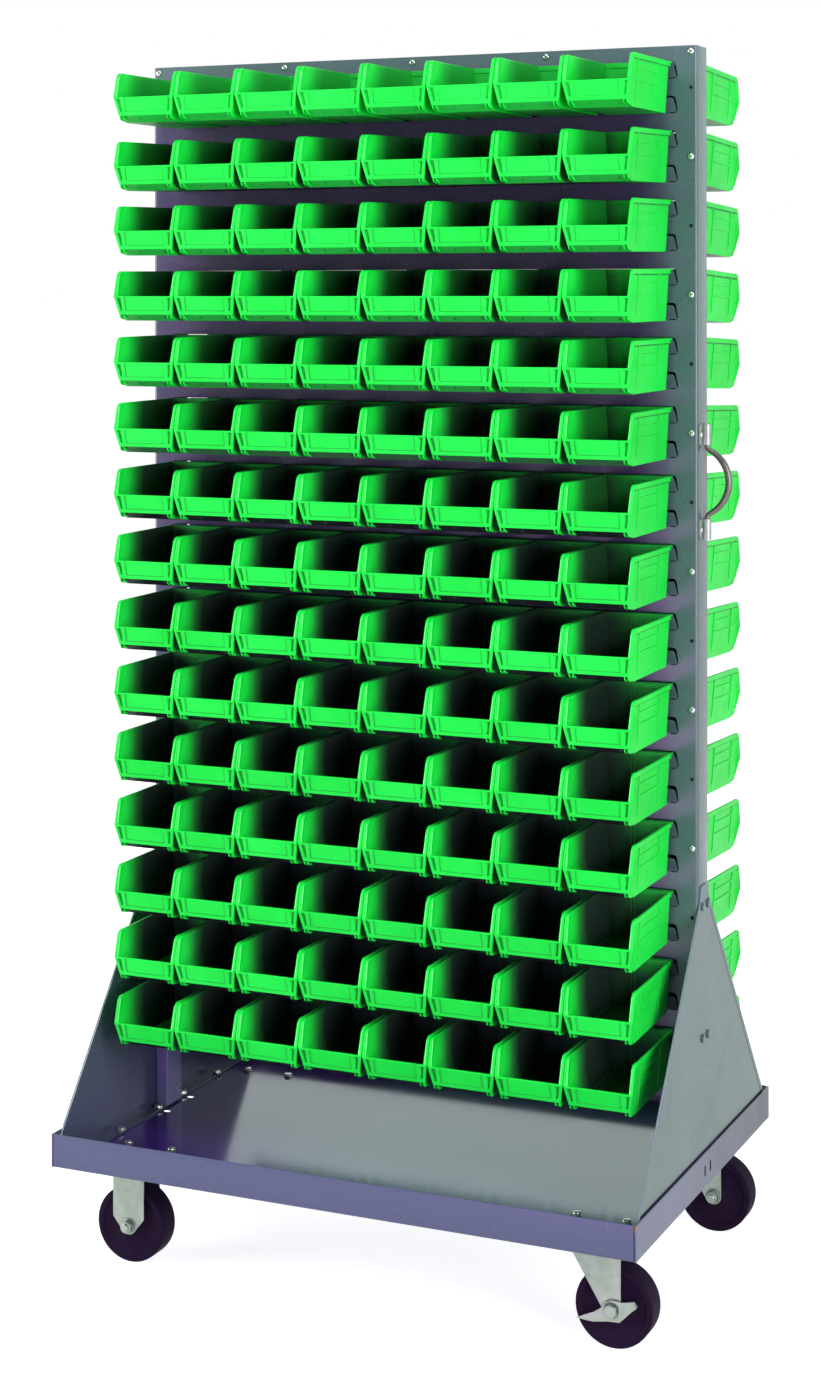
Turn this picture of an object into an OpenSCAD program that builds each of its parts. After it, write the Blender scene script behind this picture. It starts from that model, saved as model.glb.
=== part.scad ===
// Louvered bin rack: a double sided rack on casters. Two louvered steel panels stand back to back on
// two uprights, braced by triangular end panels in a lipped tray. Hopper fronted bins hang on the louvers.
// Millimetres, Z up, the floor at Z = 0, the front towards -Y and the handle end towards +X.

/* [Bins] */
// Width of a bin over its rim
bin_w = 104.6; // [98:0.1:110]
// Height of a bin from its base to its rim
bin_h = 76.2; // [70:0.1:82]
// Depth of a bin from its back wall to the front of its hopper
bin_d = 176.5; // [160:0.5:190]
// Wall of a bin
bin_wall = 2.2; // [1.8:0.1:2.8]
// Height of the front panel's top edge above the base
bin_mouth = 38; // [32:0.5:44]
// Space between the rims of two neighbours
bin_gap = 0.6; // [0.4:0.1:2]
// How far the rear side's bins hang off the middle, towards the handle
rear_shift = 31; // [0:1:34]

/* [Louver panels] */
// Pitch of the louvers, two to a row of bins
louver_pitch = 50.8; // [48:0.1:54]
// Height of a louver from its bend to its free edge
louver_rise = 19; // [16:0.5:22]
// How far the free edge stands out of the panel
louver_out = 9.5; // [8:0.1:11]
// Panel sheet
panel_sheet = 1.5; // [1.2:0.1:1.8]
// Plain panel at each side of the louvers
panel_margin = 24.4; // [23:0.1:34]

/* [Frame] */
// Width of an upright, across the rack
upright_w = 22; // [20:0.5:25]
// Depth of an upright, front to back
upright_d = 46.6; // [44:0.2:52]
// Wall of an upright and of the top rail
upright_wall = 2; // [1.5:0.1:2.5]
// Clear height between the deck and the panels
panel_clear = 126; // [110:1:140]
// Height of the end panels above the deck
end_panel_h = 439; // [400:1:460]

/* [Tray] */
// Depth of the tray, front to back
tray_d = 648; // [620:1:700]
// Height of the tray with its lip
tray_h = 50; // [45:1:55]
// Tray and end panel sheet
tray_sheet = 2.5; // [2:0.1:3]

/* [Casters] */
// Wheel diameter
wheel_d = 114.3; // [104:0.1:118]
// Wheel width
wheel_w = 38.1; // [32:0.1:40]
// Height of the tray's underside above the floor
caster_h = 153; // [150:1:162]
// Offset of a swivel wheel from its kingpin
swivel_lead = 38; // [34:0.5:42]
// Axle bolt diameter
axle_d = 12; // [10:0.5:13]

/* [Handle] */
// Height of the handle's middle above the deck
handle_up = 1033; // [900:1:1100]
// Distance between the two bracket middles
handle_span = 140; // [134:1:150]
// Reach of the bail from its pivot to the rod's middle
handle_reach = 33.3; // [30:0.1:36]
// Rod diameter of the bail
handle_rod = 10; // [9:0.2:11]

/* [Hidden] */
$fn = 48;
cols = 8;
rows = 15;
segs = 4;
// Gap left between two pieces that are bolted or rest on each other
seat = 0.2;
// Radial running fit of a pin in its hole
fit = 0.05;
// Radial clearance of a fastener in its hole
loose = 0.4;

// Levels and main widths
deck_z = caster_h + tray_sheet;
panel_z = deck_z + panel_clear;
foot_margin = 49.8;
head_margin = 26.4;
louvers = 2 * rows;
panel_h = foot_margin + (louvers - 1) * louver_pitch + head_margin;
panel_top = panel_z + panel_h;
col_pitch = bin_w + bin_gap;
louver_past = 12;
louver_span = cols * col_pitch + 2 * louver_past;
panel_w = louver_span + 2 * panel_margin;
panel_y = upright_d / 2 + seat + panel_sheet;
end_in = panel_w / 2 + seat;
end_out = end_in + tray_sheet + 0.5;
lip_gap = 0.6;
tray_w = 2 * (end_out + lip_gap + tray_sheet);
row_pitch = 2 * louver_pitch;

// Bin profile
back_gap = 3;
bin_back = louver_out + back_gap;
bin_front = bin_back + bin_d;
hook_t = 2.5;
hang_gap = 0.3;
rim_h = 7.5;
rim_out = 2.4;
taper = 5.4;
half_top = bin_w / 2 - rim_out;
half_base = half_top - taper;
toe_z = 9.5;
toe_in = 7;
toe_run = 25.5;
rake = 11;
flare_w = 8;
label_w = 66;
label_deep = 0.8;

// Panel holes: the top row and the two side columns
screw_r = 2.5;
hole_r = screw_r + loose;
top_hole_z = panel_top - 8.5;
side_hole_x = panel_w / 2 - 9.2;
side_hole_z = panel_top - 11 - louver_pitch;
top_hole_x = [-side_hole_x, -220.5, 0, 220.5, side_hole_x];
side_holes = 15;

// End panels and tray
apex_half = 16;
apex_drop = 18;
brace_half = tray_d / 2 - tray_sheet - 1;
brace_foot = 22;
brace_flange = 22;
brace_t = tray_sheet + 0.5;
brace_z = deck_z + seat;
flange_x = end_out - brace_flange + 4.5;
flange_y = [-156, -39, 39, 156];
brace_bolt_y = [-13, 13];
brace_bolt_z = [deck_z + 0.491 * end_panel_h, deck_z + 0.932 * end_panel_h];
bolt_r = 4;
head_r = 7.2;
head_h = 5;
deck_slot_x = panel_w / 2 - 29.7;
deck_slot_y = 38;
lip_slot_z = caster_h + 24;
upright_z = brace_z + brace_t + seat;
rail_h = 30;

// Casters
caster_inset = 89;
caster_x = panel_w / 2 - caster_inset;
caster_y = tray_d / 2 - caster_inset;
plate_x = 101.6;
plate_y = 92;
plate_t = 3;
plate_hole = 38;
plate_z = caster_h - seat - plate_t;
wheel_r = wheel_d / 2;
axle_r = axle_d / 2;
leg_t = 3;
leg_in = wheel_w / 2 + 3.4;
leg_out = leg_in + leg_t;
hub_half = leg_in - 0.4;
lever_t = 2.5;
lever_gap = 0.3;
axle_head_r = 10.5;
axle_head_h = 7;
king_r = 6;
race_r = 30;
crown_t = 3.5;
crown_z = plate_z - 13.8;
race_gap = 0.3;

// Handle
bracket_t = 2;
bracket_h = 31;
bracket_w = 38;
barrel_r = 6;
pin_r = 4;
handle_z = deck_z + handle_up;
handle_x = panel_w / 2 + seat + barrel_r + 0.8;
elbow_gap = 1;
handle_half = handle_span / 2 - bracket_h / 2 - handle_rod / 2 - elbow_gap;
bail_r = (handle_half * handle_half + handle_reach * handle_reach) / (2 * handle_reach);
bail_angle = asin(handle_half / bail_r);
// The rack's own middle is set off from X = 0, so that its whole length with the bail is centred there
mid_x = (handle_x + handle_reach + handle_rod / 2 - tray_w / 2) / 2;

steel_grey = [0.48, 0.55, 0.56];
zinc = [0.72, 0.75, 0.72];
phenolic = [0.2, 0.14, 0.2];
bin_green = [0.2, 0.85, 0.3];

// Sets a sub-part off along X, so that the rack with its handle is centred
module centred() {
    translate([-mid_x, 0, 0])
        children();
}

// A profile drawn in Y and Z, extruded along X
module along_x(pts, x0, x1) {
    translate([x0, 0, 0])
        rotate([90, 0, 90])
            linear_extrude(x1 - x0)
                polygon(pts);
}

// A profile drawn in X and Z, extruded along Y
module along_y(pts, y0, y1) {
    translate([0, y1, 0])
        rotate([90, 0, 0])
            linear_extrude(y1 - y0)
                polygon(pts);
}

// A cylinder along X, from x0 to x1
module rod_x(r, x0, x1, fn = 32) {
    translate([x0, 0, 0])
        rotate([0, 90, 0])
            cylinder(r = r, h = x1 - x0, $fn = fn);
}

// A cylinder along Y, from y0 to y1
module rod_y(r, y0, y1, fn = 32) {
    translate([0, y1, 0])
        rotate([90, 0, 0])
            cylinder(r = r, h = y1 - y0, $fn = fn);
}

// Height of the free edge of louver k, counted from the bottom
function louver_top(k) = panel_z + foot_margin + k * louver_pitch;

// Base height of a bin in row r, counted from the top
function bin_z(r) = louver_top(louvers - 1 - 2 * (r - 1)) + hang_gap + hook_t - bin_h;

// Middle of column c
function col_x(c) = (c - (cols + 1) / 2) * col_pitch;

// The bin's shell, back towards +Y, with the panel's face at Y = 0 and the base at Z = 0
module bin_shell() {
    side = [
        [-bin_back, 0], [-bin_front + toe_run, 0], [-bin_front + toe_in, toe_z],
        [-bin_front, bin_mouth], [-bin_front + rake, bin_h], [-bin_back, bin_h]
    ];
    intersection() {
        along_x(side, -bin_w, bin_w);
        along_y([
            [-half_base, 0], [-half_top, bin_h], [half_top, bin_h], [half_base, 0]
        ], -bin_front - 1, 0);
    }
}

// The thicker band that runs up the two front edges and along the front panel's ends
module bin_flare() {
    band = [
        [-bin_front + toe_in, toe_z], [-bin_front, bin_mouth], [-bin_front + rake, bin_h],
        [-bin_front + rake + flare_w, bin_h], [-bin_front + flare_w, bin_mouth],
        [-bin_front + toe_in + flare_w, toe_z]
    ];
    wide = bin_w / 2;
    intersection() {
        along_x(band, -bin_w, bin_w);
        along_y([
            [-half_base - 1, toe_z], [-wide, bin_mouth], [-wide, bin_h],
            [wide, bin_h], [wide, bin_mouth], [half_base + 1, toe_z]
        ], -bin_front - 1, -bin_back);
    }
}

// The rim along both sides
module bin_rim() {
    lap = 4;
    translate([-bin_w / 2, -bin_front + rake + flare_w - lap, bin_h - rim_h])
        cube([bin_w, bin_d - rake - flare_w + lap, rim_h]);
}

// The hanger along the back, which drops behind a louver's free edge
module bin_hanger() {
    lip_in = 3.2;
    lip_t = 2.2;
    drop = 4;
    edge_z = bin_h - hook_t;
    along_x([
        [-bin_back - 1, bin_h - rim_h], [-bin_back - 1, bin_h], [-lip_in, bin_h],
        [-lip_in, edge_z - drop], [-lip_in - lip_t, edge_z - drop], [-lip_in - lip_t, edge_z],
        [-bin_back + 2, edge_z], [-bin_back + 2, bin_h - rim_h]
    ], -bin_w / 2, bin_w / 2);
}

// The ledge at the back of the base, which stands clear of the louver as the bin lifts
module bin_ledge() {
    ledge_h = 3;
    half = half_base - 2;
    translate([-half, -bin_back - 1, 0])
        cube([2 * half, back_gap + 1 - 2 * seat, ledge_h]);
}

// The inside of the bin, open above and over the front panel
module bin_inside() {
    along_in = [
        [-bin_back - bin_wall, bin_wall], [-bin_front + toe_run + 0.8, bin_wall],
        [-bin_front + toe_in + bin_wall, toe_z + 1.4], [-bin_front + bin_wall + 0.2, bin_mouth],
        [-bin_front - 5, bin_mouth], [-bin_front - 5, bin_h + 5], [-bin_back - bin_wall, bin_h + 5]
    ];
    slope = taper / bin_h;
    low = half_base + bin_wall * slope - bin_wall;
    high = half_top + 5 * slope - bin_wall;
    intersection() {
        along_x(along_in, -bin_w, bin_w);
        along_y([
            [-low, bin_wall], [-high, bin_h + 5], [high, bin_h + 5], [low, bin_wall]
        ], -bin_front - 6, 0);
    }
}

// The bare place for a label, sunk in the front panel
module bin_label() {
    run = bin_mouth - toe_z;
    lean = toe_in / run;
    low = toe_z + 4;
    high = bin_mouth - 4;
    face_low = -bin_front + toe_in - (low - toe_z) * lean;
    face_high = -bin_front + toe_in - (high - toe_z) * lean;
    along_x([
        [face_low + label_deep, low], [face_low - 2, low],
        [face_high - 2, high], [face_high + label_deep, high]
    ], -label_w / 2, label_w / 2);
}

module hopper_bin() {
    difference() {
        union() {
            bin_shell();
            bin_flare();
            bin_rim();
            bin_hanger();
            bin_ledge();
        }
        bin_inside();
        bin_label();
    }
}

// A bin in column c and row r on the front panel
module front_bin(c, r) {
    translate([col_x(c), -panel_y, bin_z(r)])
        hopper_bin();
}

module front_column(c) {
    for (r = [2 : rows])
        front_bin(c, r);
}

// A column of the rear panel, hung off the middle by rear_shift
module rear_column(c) {
    translate([rear_shift, 0, 0])
        rotate([0, 0, 180])
            for (r = [1 : rows])
                front_bin(cols + 1 - c, r);
}

// Every hole of one panel: xz pairs
function panel_holes() = concat(
    [for (x = top_hole_x) [x, top_hole_z]],
    [for (i = [0 : side_holes - 1]) for (s = [-1, 1]) [s * side_hole_x, side_hole_z - i * row_pitch]]
);

// The holes that take a screw: the whole top row and every other one of the side columns
function screw_holes() = concat(
    [for (x = top_hole_x) [x, top_hole_z]],
    [for (i = [1 : 2 : side_holes - 1]) for (s = [-1, 1]) [s * side_hole_x, side_hole_z - i * row_pitch]]
);

// One louvered panel, its face towards -Y
module louver_panel() {
    pitch = louver_span / segs;
    web = 14;
    slit = 0.8;
    lean = louver_out + 0.3;
    thick = panel_sheet * 1.12;
    window = sqrt(louver_rise * louver_rise + louver_out * louver_out);
    translate([0, -panel_y, 0]) {
        difference() {
            translate([-panel_w / 2, 0, panel_z])
                cube([panel_w, panel_sheet, panel_h]);
            for (k = [0 : louvers - 1])
                for (s = [0 : segs - 1])
                    translate([
                        -louver_span / 2 + s * pitch + web / 2 - slit, -1,
                        louver_top(k) - louver_rise
                    ])
                        cube([pitch - web + 2 * slit, panel_sheet + 2, window]);
            for (h = panel_holes())
                translate([h[0], 0, h[1]])
                    rod_y(hole_r, -1, panel_sheet + 1, 12);
        }
        for (k = [0 : louvers - 1])
            for (s = [0 : segs - 1])
                translate([-louver_span / 2 + s * pitch + web / 2, 0, louver_top(k)])
                    along_x([
                        [0, -louver_rise - 0.8], [0, -louver_rise], [-louver_out, 0],
                        [-louver_out + thick, 0], [panel_sheet, -louver_rise - 0.1],
                        [panel_sheet, -louver_rise - 0.8]
                    ], 0, pitch - web);
    }
}

module panel_screw() {
    head = 5.2;
    rod_y(screw_r, -2, 8, 24);
    translate([0, -seat, 0])
        rotate([90, 0, 0]) {
            cylinder(r = head, h = 1.2, $fn = 24);
            translate([0, 0, 1.2])
                cylinder(r1 = head, r2 = 2.8, h = 1.7, $fn = 24);
        }
}

// A hex bolt along +Z, its head standing on Z = 0 and its shank reaching down by reach
module hex_bolt(r, hr, hh, reach) {
    cylinder(r = hr, h = hh, $fn = 6);
    translate([0, 0, -reach])
        cylinder(r = r, h = reach + 1, $fn = 24);
}

// An upright with its holes, outer face towards +X
module upright() {
    in = panel_w / 2 - upright_w;
    high = panel_top - upright_z;
    difference() {
        translate([in, -upright_d / 2, upright_z])
            cube([upright_w, upright_d, high]);
        translate([in + upright_wall, -upright_d / 2 + upright_wall, upright_z - 1])
            cube([upright_w - 2 * upright_wall, upright_d - 2 * upright_wall, high + 2]);
        for (h = screw_holes())
            if (h[0] > in)
                translate([h[0], 0, h[1]])
                    rod_y(hole_r, -upright_d, upright_d, 12);
        for (y = brace_bolt_y)
            for (z = brace_bolt_z)
                translate([panel_w / 2, y, z])
                    rod_x(bolt_r + loose, -upright_wall - 1, 1);
    }
}

// An end panel with its foot flange, outer face towards +X
module end_panel() {
    top = deck_z + end_panel_h;
    edge = top - apex_drop;
    foot_top = brace_z + brace_foot;
    apex_step = 4;
    flange_inset = 12;
    difference() {
        union() {
            along_x([
                [-brace_half, brace_z], [-brace_half, foot_top], [-apex_half - apex_step, edge],
                [-apex_half, top], [apex_half, top], [apex_half + apex_step, edge],
                [brace_half, foot_top], [brace_half, brace_z]
            ], end_in, end_in + brace_t);
            translate([end_in + brace_t - brace_flange, -brace_half + flange_inset, brace_z])
                cube([brace_flange - brace_t / 2, 2 * (brace_half - flange_inset), brace_t]);
        }
        for (y = brace_bolt_y)
            for (z = brace_bolt_z)
                translate([end_in, y, z])
                    rod_x(bolt_r + loose, -1, brace_t + 1);
        for (y = flange_y)
            translate([flange_x, y, brace_z - 1])
                cylinder(r = bolt_r + loose, h = brace_t + 2, $fn = 32);
    }
}

// Four corners of a caster's bolt pattern, and the four casters
module at_plate_holes() {
    for (x = [-plate_hole, plate_hole])
        for (y = [-plate_hole, plate_hole])
            translate([x, y, 0])
                children();
}

module at_casters() {
    for (x = [-caster_x, caster_x])
        for (y = [-caster_y, caster_y])
            translate([x, y, 0])
                children();
}

// A short slot along X, cut downwards
module deck_slot(len, wide, deep) {
    run = (len - wide) / 2;
    translate([-run, -wide / 2, 0])
        cube([2 * run, wide, deep]);
    for (s = [-run, run])
        translate([s, 0, 0])
            cylinder(r = wide / 2, h = deep, $fn = 24);
}

module base_tray() {
    centred()
        color(steel_grey)
            difference() {
                translate([-tray_w / 2, -tray_d / 2, caster_h])
                    cube([tray_w, tray_d, tray_h]);
                translate([-tray_w / 2 + tray_sheet, -tray_d / 2 + tray_sheet, deck_z])
                    cube([tray_w - 2 * tray_sheet, tray_d - 2 * tray_sheet, tray_h]);
                at_casters()
                    at_plate_holes()
                        translate([0, 0, caster_h - 1])
                            cylinder(r = bolt_r + loose, h = tray_sheet + 2, $fn = 32);
                for (s = [-1, 1]) {
                    for (y = flange_y)
                        translate([s * flange_x, y, caster_h - 1])
                            cylinder(r = bolt_r + loose, h = tray_sheet + 2, $fn = 32);
                    for (y = [-deck_slot_y, deck_slot_y])
                        translate([s * deck_slot_x, y, caster_h - 1])
                            deck_slot(11, 5, tray_sheet + 2);
                    for (y = brace_bolt_y)
                        translate([s * tray_w / 2 - tray_sheet - 1, y, lip_slot_z])
                            rotate([0, 90, 0])
                                deck_slot(16, 6, 2 * tray_sheet + 2);
                }
            }
}

module left_end_panel() {
    centred()
        color(steel_grey)
            mirror([1, 0, 0])
                end_panel();
}

module right_end_panel() {
    centred()
        color(steel_grey)
            end_panel();
}

module left_upright() {
    centred()
        color(steel_grey)
            mirror([1, 0, 0])
                upright();
}

module right_upright() {
    centred()
        color(steel_grey)
            difference() {
                upright();
                at_handle_screws()
                    rod_x(screw_r + loose, -upright_wall - 2, 1);
            }
}

module top_rail() {
    half = panel_w / 2 - upright_w - seat;
    low = panel_top - seat - rail_h;
    centred()
        color(steel_grey)
            difference() {
                translate([-half, -upright_d / 2, low])
                    cube([2 * half, upright_d, rail_h]);
                translate([-half - 1, -upright_d / 2 + upright_wall, low + upright_wall])
                    cube([2 * half + 2, upright_d - 2 * upright_wall, rail_h - 2 * upright_wall]);
                for (h = screw_holes())
                    if (abs(h[0]) < half)
                        translate([h[0], 0, h[1]])
                            rod_y(hole_r, -upright_d, upright_d, 12);
            }
}

module front_louver_panel() {
    centred()
        color(steel_grey)
            louver_panel();
}

module rear_louver_panel() {
    centred()
        color(steel_grey)
            rotate([0, 0, 180])
                louver_panel();
}

module panel_screws() {
    centred()
        color(zinc)
            for (a = [0, 180])
                rotate([0, 0, a])
                    for (h = screw_holes())
                        translate([h[0], -panel_y, h[1]])
                            panel_screw();
}

module end_panel_bolts() {
    centred()
        color(steel_grey)
            for (s = [0, 1])
                mirror([s, 0, 0])
                    for (y = brace_bolt_y)
                        for (z = brace_bolt_z)
                            translate([end_in + brace_t + seat, y, z])
                                rotate([0, 90, 0])
                                    hex_bolt(bolt_r, head_r, head_h / 2, 14);
}

module flange_bolts() {
    centred()
        color(zinc)
            for (s = [-1, 1])
                for (y = flange_y)
                    translate([s * flange_x, y, brace_z + brace_t + seat])
                        hex_bolt(bolt_r, head_r, head_h, 13);
}

module caster_bolts() {
    centred()
        color(zinc)
            at_casters()
                at_plate_holes()
                    translate([0, 0, deck_z + seat])
                        hex_bolt(bolt_r, head_r, head_h, 14);
}

module at_handle_screws() {
    for (z = [-handle_span / 2, handle_span / 2])
        for (y = [-13, 13])
            translate([panel_w / 2, y, handle_z + z])
                children();
}

// A handle bracket about its middle: a plate on the upright with a barrel for the bail's pin
module handle_bracket(z) {
    face = panel_w / 2 + seat;
    centred()
        color(zinc)
            difference() {
                union() {
                    translate([face, -bracket_w / 2, z - bracket_h / 2])
                        cube([bracket_t, bracket_w, bracket_h]);
                    translate([face, -barrel_r, z - bracket_h / 2])
                        cube([handle_x - face, 2 * barrel_r, bracket_h]);
                    translate([handle_x, 0, z - bracket_h / 2])
                        cylinder(r = barrel_r, h = bracket_h);
                }
                translate([handle_x, 0, z - bracket_h / 2 - 1])
                    cylinder(r = pin_r + fit, h = bracket_h + 2);
                for (y = [-13, 13])
                    translate([face, y, z])
                        rod_x(screw_r + loose, -1, bracket_t + 1);
            }
}

module handle_upper_bracket() {
    handle_bracket(handle_z + handle_span / 2);
}

module handle_lower_bracket() {
    handle_bracket(handle_z - handle_span / 2);
}

module handle_bail() {
    pin = bracket_h * 0.75 + handle_rod / 2 + elbow_gap;
    centred()
        color([0.3, 0.29, 0.28])
            translate([handle_x, 0, handle_z]) {
                translate([handle_reach - bail_r, 0, 0])
                    rotate([90, 0, 0])
                        rotate([0, 0, -bail_angle])
                            rotate_extrude(angle = 2 * bail_angle, $fn = 128)
                                translate([bail_r, 0])
                                    circle(r = handle_rod / 2, $fn = 64);
                for (s = [-1, 1]) {
                    translate([0, 0, s * handle_half])
                        sphere(r = handle_rod / 2 + 0.5, $fn = 64);
                    translate([0, 0, s > 0 ? handle_half : -handle_half - pin])
                        cylinder(r = pin_r, h = pin);
                }
            }
}

module handle_screws() {
    centred()
        color(zinc)
            at_handle_screws()
                translate([seat + bracket_t + seat, 0, 0]) {
                    rod_x(screw_r, -7, 1, 24);
                    rotate([0, 90, 0])
                        cylinder(r1 = 4.6, r2 = 3, h = 2.4, $fn = 24);
                }
}

// A wheel about its own middle, turning about Y
module wheel() {
    half = wheel_w / 2;
    ring = 26;
    hub = 16;
    rim = wheel_r - 9;
    rotate([90, 0, 0])
        rotate_extrude($fn = 96)
            polygon([
                [axle_r + fit, -hub_half], [hub, -hub_half], [hub + 1, -half + 1.5], [ring, -half + 1.5],
                [ring + 1.5, -half + 2.5], [rim - 2, -half + 2.5], [rim, -half], [wheel_r - 4, -half],
                [wheel_r - 1, -half + 3], [wheel_r, -half + 8], [wheel_r, half - 8],
                [wheel_r - 1, half - 3], [wheel_r - 4, half], [rim, half], [rim - 2, half - 2.5],
                [ring + 1.5, half - 2.5], [ring, half - 1.5], [hub + 1, half - 1.5],
                [hub, hub_half], [axle_r + fit, hub_half]
            ]);
}

// An axle bolt along Y through both legs, its head towards -Y, and its nut; over is what the head clamps
module axle(over) {
    nut_h = 9;
    tail = leg_out + seat + nut_h + 3;
    rod_y(axle_r, -leg_out - over - seat - 1, tail);
    translate([0, -leg_out - over - seat, 0])
        rotate([90, 0, 0])
            cylinder(r = axle_head_r, h = axle_head_h, $fn = 6);
    translate([0, leg_out + seat, 0])
        difference() {
            rod_y(axle_head_r, 0, nut_h, 6);
            rod_y(axle_r + fit, -1, nut_h + 1);
        }
}

// A rigid fork: a top plate and two straight legs with rounded ends
module rigid_fork() {
    half = 26.5;
    tip = 13.5;
    low = wheel_r + 10;
    difference() {
        union() {
            translate([-plate_x / 2, -plate_y / 2, plate_z])
                cube([plate_x, plate_y, plate_t]);
            for (y = [-leg_out, leg_in])
                difference() {
                    union() {
                        along_y([
                            [-half, plate_z + 1], [-half, low], [-tip + 1.5, wheel_r - 6],
                            [tip - 1.5, wheel_r - 6], [half, low], [half, plate_z + 1]
                        ], y, y + leg_t);
                        translate([0, 0, wheel_r])
                            rod_y(tip, y, y + leg_t);
                    }
                    translate([0, 0, wheel_r])
                        rod_y(axle_r + loose, y - 1, y + leg_t + 1);
                }
        }
        at_plate_holes()
            translate([0, 0, plate_z - 1])
                cylinder(r = bolt_r + loose, h = plate_t + 2, $fn = 32);
    }
}

// The top plate of a swivel caster, with the upper half of its ball race
module swivel_plate() {
    race_low = crown_z + crown_t + 2.5 + race_gap;
    difference() {
        union() {
            translate([-plate_x / 2, -plate_y / 2, plate_z])
                cube([plate_x, plate_y, plate_t]);
            translate([0, 0, race_low])
                cylinder(r = race_r, h = plate_z - race_low + 1);
        }
        translate([0, 0, race_low - 1])
            cylinder(r = king_r + fit, h = plate_z + plate_t);
        at_plate_holes()
            translate([0, 0, plate_z - 1])
                cylinder(r = bolt_r + loose, h = plate_t + 2, $fn = 32);
    }
}

// The kingpin, headed under the fork's crown
module kingpin() {
    head = 4;
    low = crown_z - race_gap - head;
    translate([0, 0, low])
        cylinder(r = 10, h = head);
    translate([0, 0, low + 1])
        cylinder(r = king_r, h = plate_z + plate_t - 0.5 - low - 1);
}

// A swivel fork about its kingpin, the axle at +X by swivel_lead
module swivel_fork() {
    lead = swivel_lead;
    tip = 13;
    crown_r = 33;
    difference() {
        union() {
            translate([0, 0, crown_z])
                cylinder(r = crown_r, h = crown_t);
            translate([0, 0, crown_z + 1])
                cylinder(r = race_r, h = crown_t + 1.5);
            translate([-20, -leg_out, crown_z])
                cube([lead + 12.5 + 20, 2 * leg_out, crown_t]);
            for (y = [-leg_out, leg_in])
                union() {
                    along_y([
                        [-24, crown_z + crown_t], [-24, crown_z - 2], [lead - 11, wheel_r - 7],
                        [lead + 8, wheel_r - 10], [lead + 12.5, wheel_r], [lead + 12.5, crown_z + crown_t]
                    ], y, y + leg_t);
                    translate([lead, 0, wheel_r])
                        rod_y(tip, y, y + leg_t);
                }
        }
        translate([0, 0, crown_z - 1])
            cylinder(r = king_r + fit, h = crown_t + 8);
        translate([lead, 0, wheel_r])
            rod_y(axle_r + loose, -leg_out - 1, leg_out + 1);
    }
}

// A two winged brake lever about the axle, on the outer face of the fork
module brake_lever() {
    near = -leg_out - lever_gap;
    hub = 14.5;
    difference() {
        union() {
            along_y([
                [-49, -15.5], [-25, -5.6], [-14, 2], [0, 14], [15.7, 12.7], [29.6, 17], [35, 19],
                [38.5, 15.3], [37.6, 8.7], [29.6, 2.3], [20.4, -7.3], [12, -15.2], [-7.4, -16.4],
                [-26.8, -19.7], [-42, -17.5]
            ], near - lever_t, near);
            rod_y(hub, near - lever_t, near);
            along_y([[-49, -15.5], [-32, -8.5], [-31.2, -10.9], [-48, -17.8]], near - 10, near);
            along_y([[24, 15.3], [35, 19], [38.5, 15.3], [36, 14.5], [24, 12.6]], near - 10, near);
        }
        rod_y(axle_r + fit, near - 12, near + 1);
    }
}

// Where each caster stands: the front ones as drawn, the rear ones turned so that their outer side is out
module at_left(s) {
    translate([-caster_x, s * caster_y, 0])
        mirror([0, s > 0 ? 1 : 0, 0])
            children();
}

module at_right(s) {
    translate([caster_x, s * caster_y, 0])
        mirror([0, s > 0 ? 1 : 0, 0])
            children();
}

module front_left_fork() {
    centred()
        color(zinc)
            at_left(-1)
                rigid_fork();
}

module front_left_wheel() {
    centred()
        color(phenolic)
            at_left(-1)
                translate([0, 0, wheel_r])
                    wheel();
}

module front_left_axle() {
    centred()
        color(zinc)
            at_left(-1)
                translate([0, 0, wheel_r])
                    rotate([0, 0, 180])
                        axle(0);
}

module rear_left_fork() {
    centred()
        color(zinc)
            at_left(1)
                rigid_fork();
}

module rear_left_wheel() {
    centred()
        color(phenolic)
            at_left(1)
                translate([0, 0, wheel_r])
                    wheel();
}

module rear_left_axle() {
    centred()
        color(zinc)
            at_left(1)
                translate([0, 0, wheel_r])
                    rotate([0, 0, 180])
                        axle(0);
}

module front_right_plate() {
    centred()
        color(zinc)
            at_right(-1)
                swivel_plate();
}

module front_right_kingpin() {
    centred()
        color(zinc)
            at_right(-1)
                kingpin();
}

module front_right_fork() {
    centred()
        color(zinc)
            at_right(-1)
                swivel_fork();
}

module front_right_wheel() {
    centred()
        color(phenolic)
            at_right(-1)
                translate([swivel_lead, 0, wheel_r])
                    wheel();
}

module front_right_axle() {
    centred()
        color(zinc)
            at_right(-1)
                translate([swivel_lead, 0, wheel_r])
                    axle(lever_t + 2 * lever_gap - seat);
}

module front_right_brake() {
    centred()
        color(zinc)
            at_right(-1)
                translate([swivel_lead, 0, wheel_r])
                    brake_lever();
}

module rear_right_plate() {
    centred()
        color(zinc)
            at_right(1)
                swivel_plate();
}

module rear_right_kingpin() {
    centred()
        color(zinc)
            at_right(1)
                kingpin();
}

module rear_right_fork() {
    centred()
        color(zinc)
            at_right(1)
                swivel_fork();
}

module rear_right_wheel() {
    centred()
        color(phenolic)
            at_right(1)
                translate([swivel_lead, 0, wheel_r])
                    wheel();
}

module rear_right_axle() {
    centred()
        color(zinc)
            at_right(1)
                translate([swivel_lead, 0, wheel_r])
                    axle(lever_t + 2 * lever_gap - seat);
}

module rear_right_brake() {
    centred()
        color(zinc)
            at_right(1)
                translate([swivel_lead, 0, wheel_r])
                    brake_lever();
}

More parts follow.
